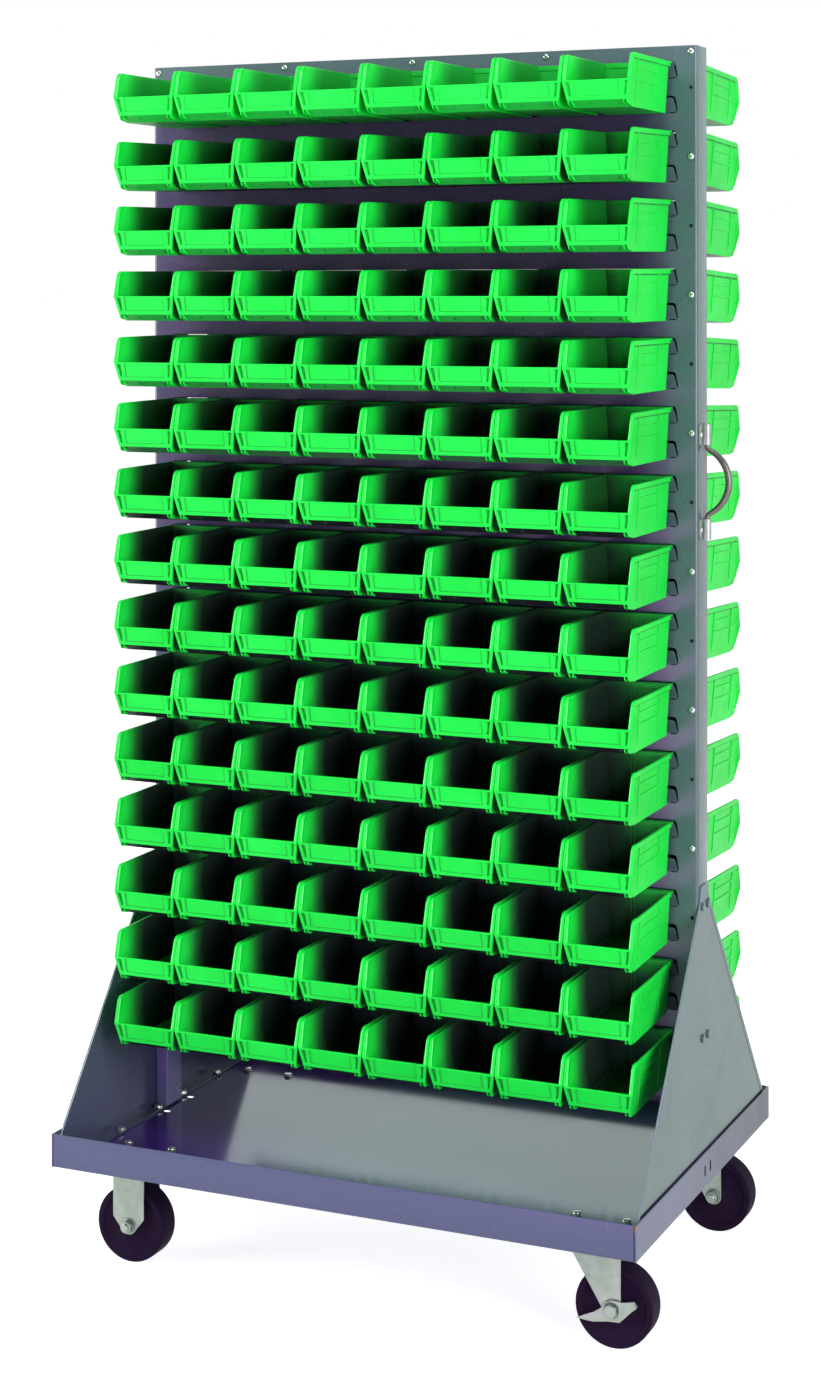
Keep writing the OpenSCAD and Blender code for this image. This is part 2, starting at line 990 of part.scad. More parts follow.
module top_bin_1() { centred() color(bin_green) front_bin(1, 1); }
module top_bin_2() { centred() color(bin_green) front_bin(2, 1); }
module top_bin_3() { centred() color(bin_green) front_bin(3, 1); }
module top_bin_4() { centred() color(bin_green) front_bin(4, 1); }
module top_bin_5() { centred() color(bin_green) front_bin(5, 1); }
module top_bin_6() { centred() color(bin_green) front_bin(6, 1); }
module top_bin_7() { centred() color(bin_green) front_bin(7, 1); }
module top_bin_8() { centred() color(bin_green) front_bin(8, 1); }

module front_bins_1() { centred() color(bin_green) front_column(1); }
module front_bins_2() { centred() color(bin_green) front_column(2); }
module front_bins_3() { centred() color(bin_green) front_column(3); }
module front_bins_4() { centred() color(bin_green) front_column(4); }
module front_bins_5() { centred() color(bin_green) front_column(5); }
module front_bins_6() { centred() color(bin_green) front_column(6); }
module front_bins_7() { centred() color(bin_green) front_column(7); }
module front_bins_8() { centred() color(bin_green) front_column(8); }

module rear_bins_1() { centred() color(bin_green) rear_column(1); }
module rear_bins_2() { centred() color(bin_green) rear_column(2); }
module rear_bins_3() { centred() color(bin_green) rear_column(3); }
module rear_bins_4() { centred() color(bin_green) rear_column(4); }
module rear_bins_5() { centred() color(bin_green) rear_column(5); }
module rear_bins_6() { centred() color(bin_green) rear_column(6); }
module rear_bins_7() { centred() color(bin_green) rear_column(7); }
module rear_bins_8() { centred() color(bin_green) rear_column(8); }

base_tray();
left_end_panel();
right_end_panel();
left_upright();
right_upright();
top_rail();
front_louver_panel();
rear_louver_panel();
panel_screws();
end_panel_bolts();
flange_bolts();
caster_bolts();
handle_upper_bracket();
handle_lower_bracket();
handle_bail();
handle_screws();
front_left_fork();
front_left_wheel();
front_left_axle();
rear_left_fork();
rear_left_wheel();
rear_left_axle();
front_right_plate();
front_right_kingpin();
front_right_fork();
front_right_wheel();
front_right_axle();
front_right_brake();
rear_right_plate();
rear_right_kingpin();
rear_right_fork();
rear_right_wheel();
rear_right_axle();
rear_right_brake();
top_bin_1();
top_bin_2();
top_bin_3();
top_bin_4();
top_bin_5();
top_bin_6();
top_bin_7();
top_bin_8();
front_bins_1();
front_bins_2();
front_bins_3();
front_bins_4();
front_bins_5();
front_bins_6();
front_bins_7();
front_bins_8();
rear_bins_1();
rear_bins_2();
rear_bins_3();
rear_bins_4();
rear_bins_5();
rear_bins_6();
rear_bins_7();
rear_bins_8();
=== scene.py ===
import math
import random

import bmesh
import bpy
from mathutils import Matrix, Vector
from mathutils.geometry import delaunay_2d_cdt


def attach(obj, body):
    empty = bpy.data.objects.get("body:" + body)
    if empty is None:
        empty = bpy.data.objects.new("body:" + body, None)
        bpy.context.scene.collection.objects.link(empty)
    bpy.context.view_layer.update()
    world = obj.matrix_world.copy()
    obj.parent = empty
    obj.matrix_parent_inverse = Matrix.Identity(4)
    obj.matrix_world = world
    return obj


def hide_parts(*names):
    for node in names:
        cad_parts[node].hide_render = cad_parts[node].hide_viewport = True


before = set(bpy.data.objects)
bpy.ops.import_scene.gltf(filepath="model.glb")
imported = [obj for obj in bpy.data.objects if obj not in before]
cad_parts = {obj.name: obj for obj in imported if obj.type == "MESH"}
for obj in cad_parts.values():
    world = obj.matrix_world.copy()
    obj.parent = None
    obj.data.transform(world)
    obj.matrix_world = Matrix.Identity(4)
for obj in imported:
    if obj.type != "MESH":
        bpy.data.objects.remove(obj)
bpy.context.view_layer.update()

# Sizes in millimetres, as in the part's source. The rack's own middle lies MID along -X from the origin.
MID = 19.5
MM = 0.001
COLS, ROWS = 8, 15
BIN_W, BIN_H, BIN_WALL = 104.6, 76.2, 2.2
BIN_BACK, BIN_FRONT = 12.5, 189.0
BACK_IN = -BIN_BACK - BIN_WALL
MOUTH = 38.0
TOE_Z, TOE_IN, TOE_RUN, RAKE = 9.5, 7.0, 25.5, 11.0
HALF_TOP, HALF_BASE = 49.9, 44.5
TOE_MARKS = (-12.5, 30.0)
COL_PITCH, ROW_PITCH = 105.2, 101.6
TOP_BIN_Z = 1731.1
# The rear bins hang off the middle. Every bin droops by some degrees, the lower right ones more.
REAR_SHIFT, REAR_DROOP = 31.0, 2.2
FRONT_DROOP, USUAL_DROOP, CORNER_DROOP = {2: 1.4, 3: 0.8}, 0.4, 0.35
PANEL_Y, PANEL_HALF, PANEL_LOW, PANEL_TOP = 25.0, 457.2, 281.5, 1830.9
TOP_HOLES = [(x, 1822.4) for x in (0, -220.5, 220.5, -448, 448)]
TRAY_X, TRAY_Y, TRAY_LOW, TRAY_HIGH, TRAY_SHEET = 463.5, 324.0, 153.0, 203.0, 2.5
DECK_Z, FLANGE_LOW, FLANGE_TOP = 155.5, 155.7, 158.7
CASTER_X, CASTER_Y, LEAD, WHEEL_R = 368.2, 235.0, 38.0, 57.15
BOLT_HOLE = 4.4
PLATE_BOLTS = [(x, y) for x in (-38, 38) for y in (-38, 38)]
CASTER_BOLTS = [(sx * CASTER_X + x, sy * CASTER_Y + y)
                for sx in (-1, 1) for sy in (-1, 1) for x, y in PLATE_BOLTS]
FLANGE_X, FLANGE_Y = 442.9, (-156, -39, 39, 156)
BRACE_X = 460.1
BRACE_BOLTS = [(y, z) for y in (-13, 13) for z in (371.05, 564.65)]
HANDLE_X, HANDLE_Z, BRACKET_UP = 464.2, 1188.5, 70.0
rng = random.Random(7)


# Geometry helpers

class Build:
    """Collects the vertices and faces of one piece, in millimetres about the rack's middle."""

    def __init__(self):
        self.v = []
        self.f = []
        self.mat = []

    def add(self, verts, faces, mat):
        base = len(self.v)
        self.v.extend(verts)
        self.f.extend([tuple(base + i for i in face) for face in faces])
        self.mat.extend([mat] * len(faces))

    def extend(self, other, move):
        """Takes over another build, with each of its points moved."""
        self.add([move(p) for p in other.v], other.f, 0)

    def loft(self, loops, mat=0, caps=True):
        """Closed loops of equal length, joined in order and capped at both ends."""
        n = len(loops[0])
        verts = [p for loop in loops for p in loop]
        faces = []
        for a in range(len(loops) - 1):
            for i in range(n):
                j = (i + 1) % n
                faces.append((a * n + i, a * n + j, (a + 1) * n + j, (a + 1) * n + i))
        if caps:
            faces.append(tuple(reversed(range(n))))
            faces.append(tuple((len(loops) - 1) * n + i for i in range(n)))
        self.add(verts, faces, mat)

    def slab(self, front, back, mat=0):
        """Two grids of equal shape, joined along their border into a closed slab."""
        rows, cols = len(front), len(front[0])
        verts = [p for row in front for p in row] + [p for row in back for p in row]
        half = rows * cols
        faces = []
        for r in range(rows - 1):
            for c in range(cols - 1):
                a = r * cols + c
                faces.append((a, a + 1, a + cols + 1, a + cols))
                faces.append((half + a, half + a + cols, half + a + cols + 1, half + a + 1))
        border = list(range(cols))
        border += [r * cols + cols - 1 for r in range(1, rows)]
        border += [(rows - 1) * cols + c for c in range(cols - 2, -1, -1)]
        border += [r * cols for r in range(rows - 2, 0, -1)]
        for i, a in enumerate(border):
            b = border[(i + 1) % len(border)]
            faces.append((b, a, half + a, half + b))
        self.add(verts, faces, mat)

    def box(self, lo, hi, cham=0.0):
        """A box, with chamfered edges if cham is given."""
        if not cham:
            (x0, y0, z0), (x1, y1, z1) = lo, hi
            self.loft([[(x0, y0, z), (x1, y0, z), (x1, y1, z), (x0, y1, z)] for z in (z0, z1)])
            return
        bm = bmesh.new()
        bmesh.ops.create_cube(bm, size=1.0)
        for vert in bm.verts:
            vert.co = Vector([(h + l) / 2 + c * (h - l) for l, h, c in zip(lo, hi, vert.co)])
        bmesh.ops.bevel(bm, geom=bm.edges[:], offset=cham, segments=2, profile=0.5, affect="EDGES")
        bm.verts.index_update()
        self.add([tuple(p.co) for p in bm.verts], [tuple(p.index for p in f.verts) for f in bm.faces], 0)
        bm.free()

    def lathe(self, profile, centre, axis, seg=32, mat=0, turn=0.0, caps=True):
        """A profile of (radius, height) points turned about an axis through centre."""
        ring = ring_maker(centre, axis, seg, turn)
        self.loft([ring(radius, height) for radius, height in profile], mat, caps)


def ring_maker(centre, axis, seg, turn=0.0):
    """Gives a function that draws a ring about an axis, with one radius or a list of them."""
    axis = Vector(axis).normalized()
    side = axis.orthogonal().normalized()
    up = axis.cross(side)

    def ring(radius, height):
        radii = radius if isinstance(radius, list) else [radius] * seg
        middle = Vector(centre) + axis * height
        points = []
        for i, r in enumerate(radii):
            a = turn + 2 * math.pi * i / seg
            points.append(tuple(middle + side * (r * math.cos(a)) + up * (r * math.sin(a))))
        return points
    return ring


def shift(dx, dy, dz):
    return lambda p: (p[0] + dx, p[1] + dy, p[2] + dz)


def hang(c, r, rear=False):
    """The place of a bin on its louver, from which it droops a little; the rear bins hang off the middle."""
    lean = FRONT_DROOP.get(r, USUAL_DROOP)
    if r > 12:
        lean += CORNER_DROOP * max(0, c - 4)
    lean = math.radians(REAR_DROOP if rear else lean)
    pivot_y, pivot_z = -8.7, BIN_H - 2.5

    def place(p):
        dy, dz = p[1] - pivot_y, p[2] - pivot_z
        y = pivot_y + dy * math.cos(lean) - dz * math.sin(lean)
        z = TOP_BIN_Z - (r - 1) * ROW_PITCH + pivot_z + dz * math.cos(lean) + dy * math.sin(lean)
        if rear:
            return (col_x(c) + REAR_SHIFT - p[0], PANEL_Y - y, z)
        return (col_x(c) + p[0], y - PANEL_Y, z)
    return place


def set_sharp(mesh, angle):
    bm = bmesh.new()
    bm.from_mesh(mesh)
    bmesh.ops.recalc_face_normals(bm, faces=bm.faces[:])
    limit = math.radians(angle)
    for edge in bm.edges:
        edge.smooth = edge.is_manifold and edge.calc_face_angle(0.0) < limit
    for face in bm.faces:
        face.smooth = True
    bm.to_mesh(mesh)
    bm.free()


def linked(name, data):
    obj = bpy.data.objects.new(name, data)
    bpy.context.scene.collection.objects.link(obj)
    return obj


def piece(name, build, mats, body, nodes, sharp):
    """Makes the object of a piece, sets it on its body and hides the CAD nodes it stands for."""
    mesh = bpy.data.meshes.new(name)
    verts = [((x - MID) * MM, y * MM, z * MM) for x, y, z in build.v]
    mesh.from_pydata(verts, [], build.f)
    for m in mats:
        mesh.materials.append(m)
    mesh.polygons.foreach_set("material_index", build.mat)
    set_sharp(mesh, sharp)
    obj = linked(name, mesh)
    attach(obj, body)
    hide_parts(*nodes)
    return obj


# Materials

class Nodes:
    """A short hand for building the node tree of a material or a world."""

    def __init__(self, owner):
        self.owner = owner
        self.tree = owner.node_tree
        self.coords = self.tree.nodes.new("ShaderNodeTexCoord").outputs
        self.coord = self.coords["Object"]

    def new(self, kind, **inputs):
        node = self.tree.nodes.new(kind)
        for key, value in inputs.items():
            self.put(node.inputs[key.replace("_", " ")], value)
        return node

    def put(self, socket, value):
        """Links a socket or sets its constant; colours are given without their alpha."""
        if isinstance(value, bpy.types.NodeSocket):
            self.tree.links.new(value, socket)
        elif socket.type == "RGBA":
            socket.default_value = (*value, 1.0)
        else:
            socket.default_value = value

    def noise(self, scale, detail, rough=0.55, stretch=None, distortion=0.0):
        vector = self.coord
        if stretch:
            vector = self.new("ShaderNodeMapping", Vector=vector, Scale=stretch).outputs["Vector"]
        node = self.new("ShaderNodeTexNoise", Vector=vector, Scale=scale, Detail=detail, Roughness=rough,
                        Distortion=distortion)
        return node.outputs["Fac"]

    def ramp(self, fac, *stops):
        """A value read off a ramp of (position, value) stops."""
        node = self.new("ShaderNodeValToRGB", Fac=fac)
        elements = node.color_ramp.elements
        while len(elements) < len(stops):
            elements.new(0.5)
        for element, (position, value) in zip(elements, stops):
            element.position = position
            element.color = (value, value, value, 1.0)
        return node.outputs["Color"]

    def patches(self, low, high, *noise):
        """A mask from noise, which rises from nothing at low to one at high."""
        return self.ramp(self.noise(*noise), (low, 0.0), (high, 1.0))

    def mix(self, fac, a, b, mode="MIX"):
        node = self.tree.nodes.new("ShaderNodeMix")
        node.data_type = "RGBA"
        node.blend_type = mode
        for index, value in ((0, fac), (6, a), (7, b)):
            self.put(node.inputs[index], value)
        return node.outputs[2]

    def tint(self, colour, mask, amount, shade):
        """A colour turned towards a shade, by an amount of the mask."""
        return self.mix(self.math("MULTIPLY", mask, amount), colour, shade)

    def math(self, op, a, b, clamp=False):
        node = self.tree.nodes.new("ShaderNodeMath")
        node.operation = op
        node.use_clamp = clamp
        self.put(node.inputs[0], a)
        self.put(node.inputs[1], b)
        return node.outputs[0]

    def length(self, vector):
        node = self.tree.nodes.new("ShaderNodeVectorMath")
        node.operation = "LENGTH"
        self.put(node.inputs[0], vector)
        return node.outputs["Value"]

    def bump(self, height, strength, distance, under=None):
        node = self.new("ShaderNodeBump", Height=height, Strength=strength, Distance=distance)
        if under is not None:
            self.put(node.inputs["Normal"], under)
        return node.outputs["Normal"]

    def attribute(self, name):
        node = self.tree.nodes.new("ShaderNodeAttribute")
        node.attribute_name = name
        return node.outputs["Fac"]

    def axis(self, index):
        return self.new("ShaderNodeSeparateXYZ", Vector=self.coord).outputs[index]

    def span(self, value, low, high, start=0.0, stop=1.0):
        """A value mapped from low and high to start and stop."""
        node = self.new("ShaderNodeMapRange", Value=value, From_Min=low, From_Max=high, To_Min=start,
                        To_Max=stop)
        return node.outputs[0]

    def window(self, value, low, high, soft):
        """One between low and high, falling to nothing over soft on both sides."""
        rise = self.span(value, low - soft, low)
        return self.math("MULTIPLY", rise, self.span(value, high, high + soft, 1.0, 0.0))

    def near(self, centre, reach):
        """One at a point, falling to nothing within reach along each axis, with a ragged edge."""
        place = self.new("ShaderNodeMapping", Vector=self.coord, Scale=[1.0 / r for r in reach],
                         Location=[-c / r for c, r in zip(centre, reach)])
        ragged = self.math("MULTIPLY", self.math("SUBTRACT", self.noise(420.0, 3.0), 0.5), 1.2)
        return self.span(self.math("ADD", self.length(place.outputs["Vector"]), ragged), 1.0, 0.6)

    def set(self, **sockets):
        """Feeds the surface, and gives back its material."""
        surface = self.tree.nodes["Principled BSDF"]
        for key, value in sockets.items():
            self.put(surface.inputs[key.replace("_", " ")], value)
        return self.owner


def material(name):
    mat = bpy.data.materials.new(name)
    mat.use_nodes = True
    return Nodes(mat)


def green_plastic():
    """Moulded plastic: each bin has its tone, painted shade in its hollows, creases, toe and between its
    neighbours, and is rubbed smooth along its bead.
    """
    n = material("green_polypropylene")
    tone, painted_shade_and_rub = n.attribute("tone"), n.attribute("painted_shade_and_rub")
    hue = n.mix(n.patches(0.35, 0.7, 9.0, 3.0), (0.008, 0.74, 0.052), (0.016, 0.84, 0.075))
    colour = n.mix(1.0, hue, n.ramp(tone, (0.0, 0.9), (1.0, 1.0)), "MULTIPLY")
    # Painted shade: the attribute darkens the green deep in the bins, along creases, between neighbours and on
    # the toe, and past one turns it near black.
    colour = n.tint(colour, painted_shade_and_rub, 0.975, (0.036, 0.044, 0.048))
    colour = n.mix(n.math("SUBTRACT", painted_shade_and_rub, 1.0), colour, (0.004, 0.003, 0.006))
    colour = n.tint(colour, n.patches(0.62, 0.78, 60.0, 6.0, 0.7, (1, 0.25, 1)), 0.08, (0.25, 0.9, 0.35))
    # Below nothing the attribute marks the rubbed bead instead, which is made smoother and glossier.
    rubbed = n.math("MULTIPLY", painted_shade_and_rub, -1.0)
    rough = n.ramp(n.noise(35.0, 4.0), (0.3, 0.3), (0.75, 0.46))
    rough = n.math("MULTIPLY", rough, n.ramp(rubbed, (0.0, 1.0), (1.0, 0.45)))
    grain = n.bump(n.noise(900.0, 2.0), 0.12, 0.0004)
    wave = n.bump(n.noise(14.0, 2.0), 0.1, 0.004, grain)
    shine = n.ramp(painted_shade_and_rub, (0.0, 0.2), (1.0, 0.03))
    shine = n.math("ADD", shine, n.ramp(rubbed, (0.0, 0.0), (1.0, 0.7)))
    return n.set(Base_Color=colour, Roughness=rough, Normal=wave, IOR=1.42, Specular_IOR_Level=shine)


def grey_paint(name, base, dark, wear, rough=(0.2, 0.34), spec=0.5, low=None, behind=None, bands=(), marks=()):
    """Smooth enamel on sheet steel: orange peel, rubbed patches, fine scratches and specks.

    low is a height below which the paint turns to a second colour, as painted shade, and that colour;
    behind is the colour of the painted shade on the panel between the bins;
    bands are (colour, (axis, low, high, soft), ...) zones, and marks are (centre, reach, colour) spots.
    """
    n = material(name)
    colour = n.mix(n.patches(0.3, 0.72, 3.2, 5.0, 0.6), base, dark)
    # Painted shade: the paint turns to the second colour below the height.
    if low:
        height, shade = low
        colour = n.tint(colour, n.span(n.axis(2), height, height * 0.45), 0.85, shade)
    # Painted shade on the panel where the bins shade it.
    if behind:
        across = n.window(n.axis(0), -0.455, 0.345, 0.055)
        along = n.window(n.axis(2), 0.2, 1.79, 0.03)
        colour = n.tint(colour, n.math("MULTIPLY", across, along), 0.92, behind)
    for shade, *zones in bands:
        mask = 1.0
        for index, *limits in zones:
            mask = n.math("MULTIPLY", mask, n.window(n.axis(index), *limits))
        colour = n.mix(mask, colour, shade)
    rub = n.patches(0.58, 0.74, 11.0, 8.0, 0.72, (1, 1, 6))
    colour = n.tint(colour, rub, 0.22 * wear, (0.3, 0.34, 0.36))
    line = n.ramp(n.noise(26.0, 3.0, 0.5, (9, 0.35, 0.35), 0.6), (0.665, 0.0), (0.69, 1.0), (0.715, 0.0))
    line = n.math("MULTIPLY", line, n.patches(0.52, 0.62, 5.0, 2.0))
    colour = n.tint(colour, line, 0.5 * wear, (0.035, 0.035, 0.045))
    colour = n.tint(colour, n.patches(0.765, 0.79, 240.0, 2.0), 0.6 * wear, (0.03, 0.03, 0.04))
    for centre, reach, shade in marks:
        colour = n.mix(n.near(centre, reach), colour, shade)
    dull = n.ramp(n.noise(7.0, 6.0, 0.65), (0.3, rough[0]), (0.75, rough[1]))
    peel = n.bump(n.noise(420.0, 2.0), 0.022, 0.0006)
    warp = n.bump(n.noise(2.2, 1.0), 0.06, 0.02, peel)
    return n.set(Base_Color=colour, Roughness=dull, Normal=warp, IOR=1.55, Specular_IOR_Level=spec)


def zinc_plate(name, base, dark, metal=0.75, rough=(0.34, 0.52)):
    """Bright zinc plate with passivation blotches, and painted shade in its hollows."""
    n = material(name)
    colour = n.mix(n.patches(0.28, 0.72, 24.0, 6.0, 0.62), base, dark)
    colour = n.tint(colour, n.patches(0.45, 0.8, 60.0, 3.0), 0.35, (0.5, 0.52, 0.4))
    colour = n.tint(colour, n.patches(0.6, 0.78, 85.0, 8.0, 0.75), 0.45, (0.16, 0.17, 0.15))
    # Painted shade: the colour darkens where ambient occlusion finds a hollow.
    hollow = n.new("ShaderNodeAmbientOcclusion", Distance=0.007)
    hollow.samples = 8
    shade = n.ramp(hollow.outputs["AO"], (0.3, 1.0), (0.85, 0.0))
    colour = n.tint(colour, shade, 0.8, (0.035, 0.034, 0.04))
    dull = n.ramp(n.noise(40.0, 5.0), (0.3, rough[0]), (0.75, rough[1]))
    dents = n.bump(n.noise(120.0, 4.0), 0.12, 0.0008)
    return n.set(Base_Color=colour, Roughness=dull, Normal=dents, Metallic=metal)


def dark_wheel():
    """Moulded phenolic with short fibres and a little dusting."""
    n = material("phenolic_wheel")
    colour = n.mix(n.patches(0.3, 0.75, 20.0, 5.0, 0.6), (0.011, 0.005, 0.019), (0.018, 0.009, 0.024))
    colour = n.tint(colour, n.patches(0.62, 0.8, 160.0, 4.0, 0.6, (1, 3, 1)), 0.25, (0.055, 0.034, 0.055))
    colour = n.tint(colour, n.patches(0.6, 0.85, 12.0, 7.0, 0.7), 0.12, (0.12, 0.11, 0.13))
    rough = n.ramp(n.noise(30.0, 3.0), (0.3, 0.58), (0.8, 0.72))
    skin = n.bump(n.noise(300.0, 3.0), 0.12, 0.0006)
    return n.set(Base_Color=colour, Roughness=rough, Normal=skin, Specular_IOR_Level=0.04)


def dark_steel():
    """Plated rod, dark where the plate is worn."""
    n = material("worn_bail_steel")
    colour = n.mix(n.patches(0.3, 0.75, 50.0, 6.0, 0.65, (1, 1, 0.3)), (0.1, 0.095, 0.085), (0.2, 0.185, 0.16))
    colour = n.tint(colour, n.patches(0.62, 0.78, 90.0, 5.0, 0.6), 0.6, (0.34, 0.34, 0.31))
    rough = n.ramp(n.noise(70.0, 4.0), (0.3, 0.26), (0.8, 0.46))
    skin = n.bump(n.noise(260.0, 3.0), 0.15, 0.0005)
    return n.set(Base_Color=colour, Roughness=rough, Normal=skin, Metallic=0.8)


# The sheet steel is one blue-grey enamel; the paints below are lit and shaded copies of it, each coloured by
# painted light and shade for its place.
VIOLET = (0.05, 0.048, 0.115)
RUST = (0.24, 0.12, 0.075)
SCUFF = (0.02, 0.017, 0.022)
# A near black for the painted shadow line at the end panels' foot.
FOOT_SHADOW = (0.014, 0.009, 0.028)
# Painted shade on the panel between and behind the bins.
BEHIND = (0.047, 0.015, 0.115)
SHEET = ((0.07, 0.115, 0.124), (0.06, 0.102, 0.11))
FOOT = (2, 0.1, 0.2065, 0.001)
GREEN = green_plastic()
# A lighter strip along the panel's top is painted light, and the panel between the bins takes painted shade.
PANEL_PAINT = grey_paint("panel_enamel", *SHEET, 0.1, behind=BEHIND,
                         bands=[((0.088, 0.134, 0.148), (2, 1.795, 1.84, 0.02))])
LOUVER_PAINT = grey_paint("louver_enamel", *SHEET, 0.1, (0.5, 0.65), 0.12, behind=BEHIND)
# The end panel's outer face has a dark band along its foot, above the lip, as painted shadow.
END_PAINT = grey_paint("end_panel_enamel", (0.045, 0.105, 0.1), (0.041, 0.098, 0.093), 0.08, spec=0.38,
                       bands=[(FOOT_SHADOW, FOOT, (0, 0.4395, 0.6, 0.0004))])
# The left panel turns violet towards the bottom as painted shade, and has the same painted shadow at its foot.
LEFT_PAINT = grey_paint("left_panel_enamel", (0.066, 0.104, 0.114), (0.058, 0.096, 0.106), 0.12,
                        low=(0.46, VIOLET), bands=[(FOOT_SHADOW, FOOT, (0, -0.6, -0.4785, 0.0004))])
# The tray's violet-blue tone is painted light from the violet fill; its right lip turns darker towards the
# rear; rust spots sit at two corners.
TRAY_PAINT = grey_paint("tray_enamel", (0.093, 0.108, 0.188), (0.086, 0.1, 0.176), 0.12, spec=0.24,
                        bands=[((0.032, 0.046, 0.078), (0, 0.43, 0.6, 0.005), (1, 0.25, 0.6, 0.4))],
                        marks=[((0.4425, -0.3235, 0.2), (0.0035, 0.005, 0.008), RUST),
                               ((0.4425, 0.3235, 0.202), (0.004, 0.01, 0.003), RUST)])
# The deck's dark violet is painted shade, and its lighter teal right part a painted reflection; small scuff
# marks sit on it.
DECK_PAINT = grey_paint("deck_enamel", (0.036, 0.01, 0.13), (0.03, 0.008, 0.112), 0.4, (0.09, 0.16), 0.72,
                        bands=[((0.036, 0.085, 0.12), (0, -0.1, 0.6, 0.16))],
                        marks=[((0.2973, -0.0615, 0.1555), (0.011, 0.0035, 0.01), SCUFF),
                               ((-0.3031, -0.0116, 0.1555), (0.006, 0.004, 0.01), SCUFF),
                               ((-0.318, 0.0009, 0.1555), (0.003, 0.003, 0.01), SCUFF)])
# The uprights turn violet towards the bottom as painted shade.
POST_PAINT = grey_paint("upright_enamel", (0.075, 0.128, 0.126), (0.068, 0.118, 0.118), 0.1,
                        low=(0.5, (0.17, 0.155, 0.36)))
# A lighter paint for the end panels' cut edges, as a painted highlight.
EDGE_HIGHLIGHT = grey_paint("sheet_edge_highlight", (0.19, 0.24, 0.275), (0.17, 0.215, 0.25), 0.1, spec=0.4)
# A near black for holes and slots, as painted shade.
SHADE = grey_paint("hole_shade", (0.008, 0.006, 0.012), (0.012, 0.009, 0.016), 0.1, (0.6, 0.8), 0.1)
ZINC = zinc_plate("zinc_plate", (0.35, 0.42, 0.355), (0.23, 0.285, 0.23))
BRIGHT = zinc_plate("bright_screws", (0.55, 0.59, 0.55), (0.42, 0.46, 0.42), 0.85, (0.18, 0.32))
WHEEL = dark_wheel()
BAIL = dark_steel()


# Bins

def front_y(z):
    """Y of a bin's front outline at height z, from the panel's face."""
    if z <= TOE_Z:
        return -BIN_FRONT + TOE_RUN + (TOE_IN - TOE_RUN) * z / TOE_Z
    if z <= MOUTH:
        return -BIN_FRONT + TOE_IN * (MOUTH - z) / (MOUTH - TOE_Z)
    return -BIN_FRONT + RAKE * (z - MOUTH) / (BIN_H - MOUTH)


def wall_x(z):
    return HALF_BASE + (HALF_TOP - HALF_BASE) * z / BIN_H


def mouth_x(z):
    """Half width of the front outline at height z: widest from the front panel's top edge upwards."""
    if z <= TOE_Z:
        return 45.6
    if z <= MOUTH:
        return 46.2 + (52.1 - 46.2) * (z - TOE_Z) / (MOUTH - TOE_Z)
    return 52.1


def bin_side(b, s):
    """One side wall as a loft of level sections, with its flare, hopper edge and rim."""
    loops = []
    levels = [0.0, 4.5, 9.5, 20.0, 30.0, 36.4, 38.0, 40.0, 50.0, 60.0, 66.4, 68.2, 68.7, 69.3, 71.5, 73.6,
              75.3, 76.0, 76.2]
    for z in levels:
        wall, lip = wall_x(z), mouth_x(z)
        front = front_y(z)
        rim = 0.0
        if z > 68.5:
            rim = {68.7: 1.7, 76.0: 1.6, 76.2: 0.9}.get(z, 2.2)
            front += 8.0 - math.sqrt(max(0.0, 64.0 - (z - 68.2) ** 2))
        crease = -184.0 + 24.0 * min(1.0, max(0.0, (z - 8.0) / 62.0))
        if z < 37.0:
            front += 3.0
            lip = min(lip - 0.7, wall + 1.5)
            crease = max(crease, front + 4.0)
        crease = max(crease, front + 6.0)
        spread = lip - wall
        inner = wall - BIN_WALL
        if z > 75.9:
            inner += 0.5
        bead = inner + spread * 0.62 - 2.4
        outer_back = wall + rim
        outer_lip = lip + (0.2 if z > 38.5 else 0.0)
        if z > 75.9:
            outer_lip -= 0.5
        flare = max(outer_back, wall + spread * 0.6) if rim else wall + spread * 0.55
        loop = [
            (outer_back, -BIN_BACK), (outer_back, -100.0), (outer_back, crease), (flare, (crease + front) / 2),
            (outer_lip, front + 1.6), (outer_lip - 0.3, front + 0.6), (outer_lip - 1.0, front + 0.1),
            (outer_lip - 2.8, front), (bead + 1.8, front + 0.3), (bead + 0.6, front + 1.2),
            (bead, front + 2.8), (bead + 0.3, front + 5.2), (inner + 0.25, front + 11.0)
        ]
        loop += [(inner, front + reach) for reach in (19.0, 34.0, 52.0, 76.0)] + [(inner, -BIN_BACK - 0.6)]
        loops.append([(s * x, y, z) for x, y in loop])
    b.loft(loops)


def bin_front(b):
    """The low front panel: label place between two bars, pockets beside them and a lip below."""
    rows = [9.4, 9.9, 14.4, 15.2, 15.8, 16.6, 34.6, 35.4, 37.2, 37.8, 38.0]
    front, back = [], []
    for z in rows:
        w = mouth_x(z)
        pocket_in = max(w - 8.0, 39.6)
        pocket_out = w - 4.2
        cols = [0.0, 31.9, 32.8, 33.5, 34.4, 38.8, 39.5, pocket_in + 0.3, pocket_out - 0.5, pocket_out,
                w - 0.8, w]
        label = 1.3 if 15.7 < z else 0.0
        pocket = 2.8 if 15.7 < z < 35.0 else 0.0
        depth = [label, label, label, 0, 0, 0, 0.1, pocket, pocket, 0, 0, 0.6]
        edge = 0.0
        if z > 37.9:
            edge = 0.9
        elif z > 37.7:
            edge = 0.3
        elif z < 9.5:
            edge = 0.7
        y = front_y(max(z, TOE_Z))
        line = [(x, y + d + edge, z) for x, d in zip(cols, depth)]
        full = [(-x, yy, zz) for x, yy, zz in reversed(line[1:])] + line
        front.append(full)
        back.append([(x * 0.985, y + 5.0 - edge * 1.2, z) for x, yy, zz in full])
    b.slab(front, back)


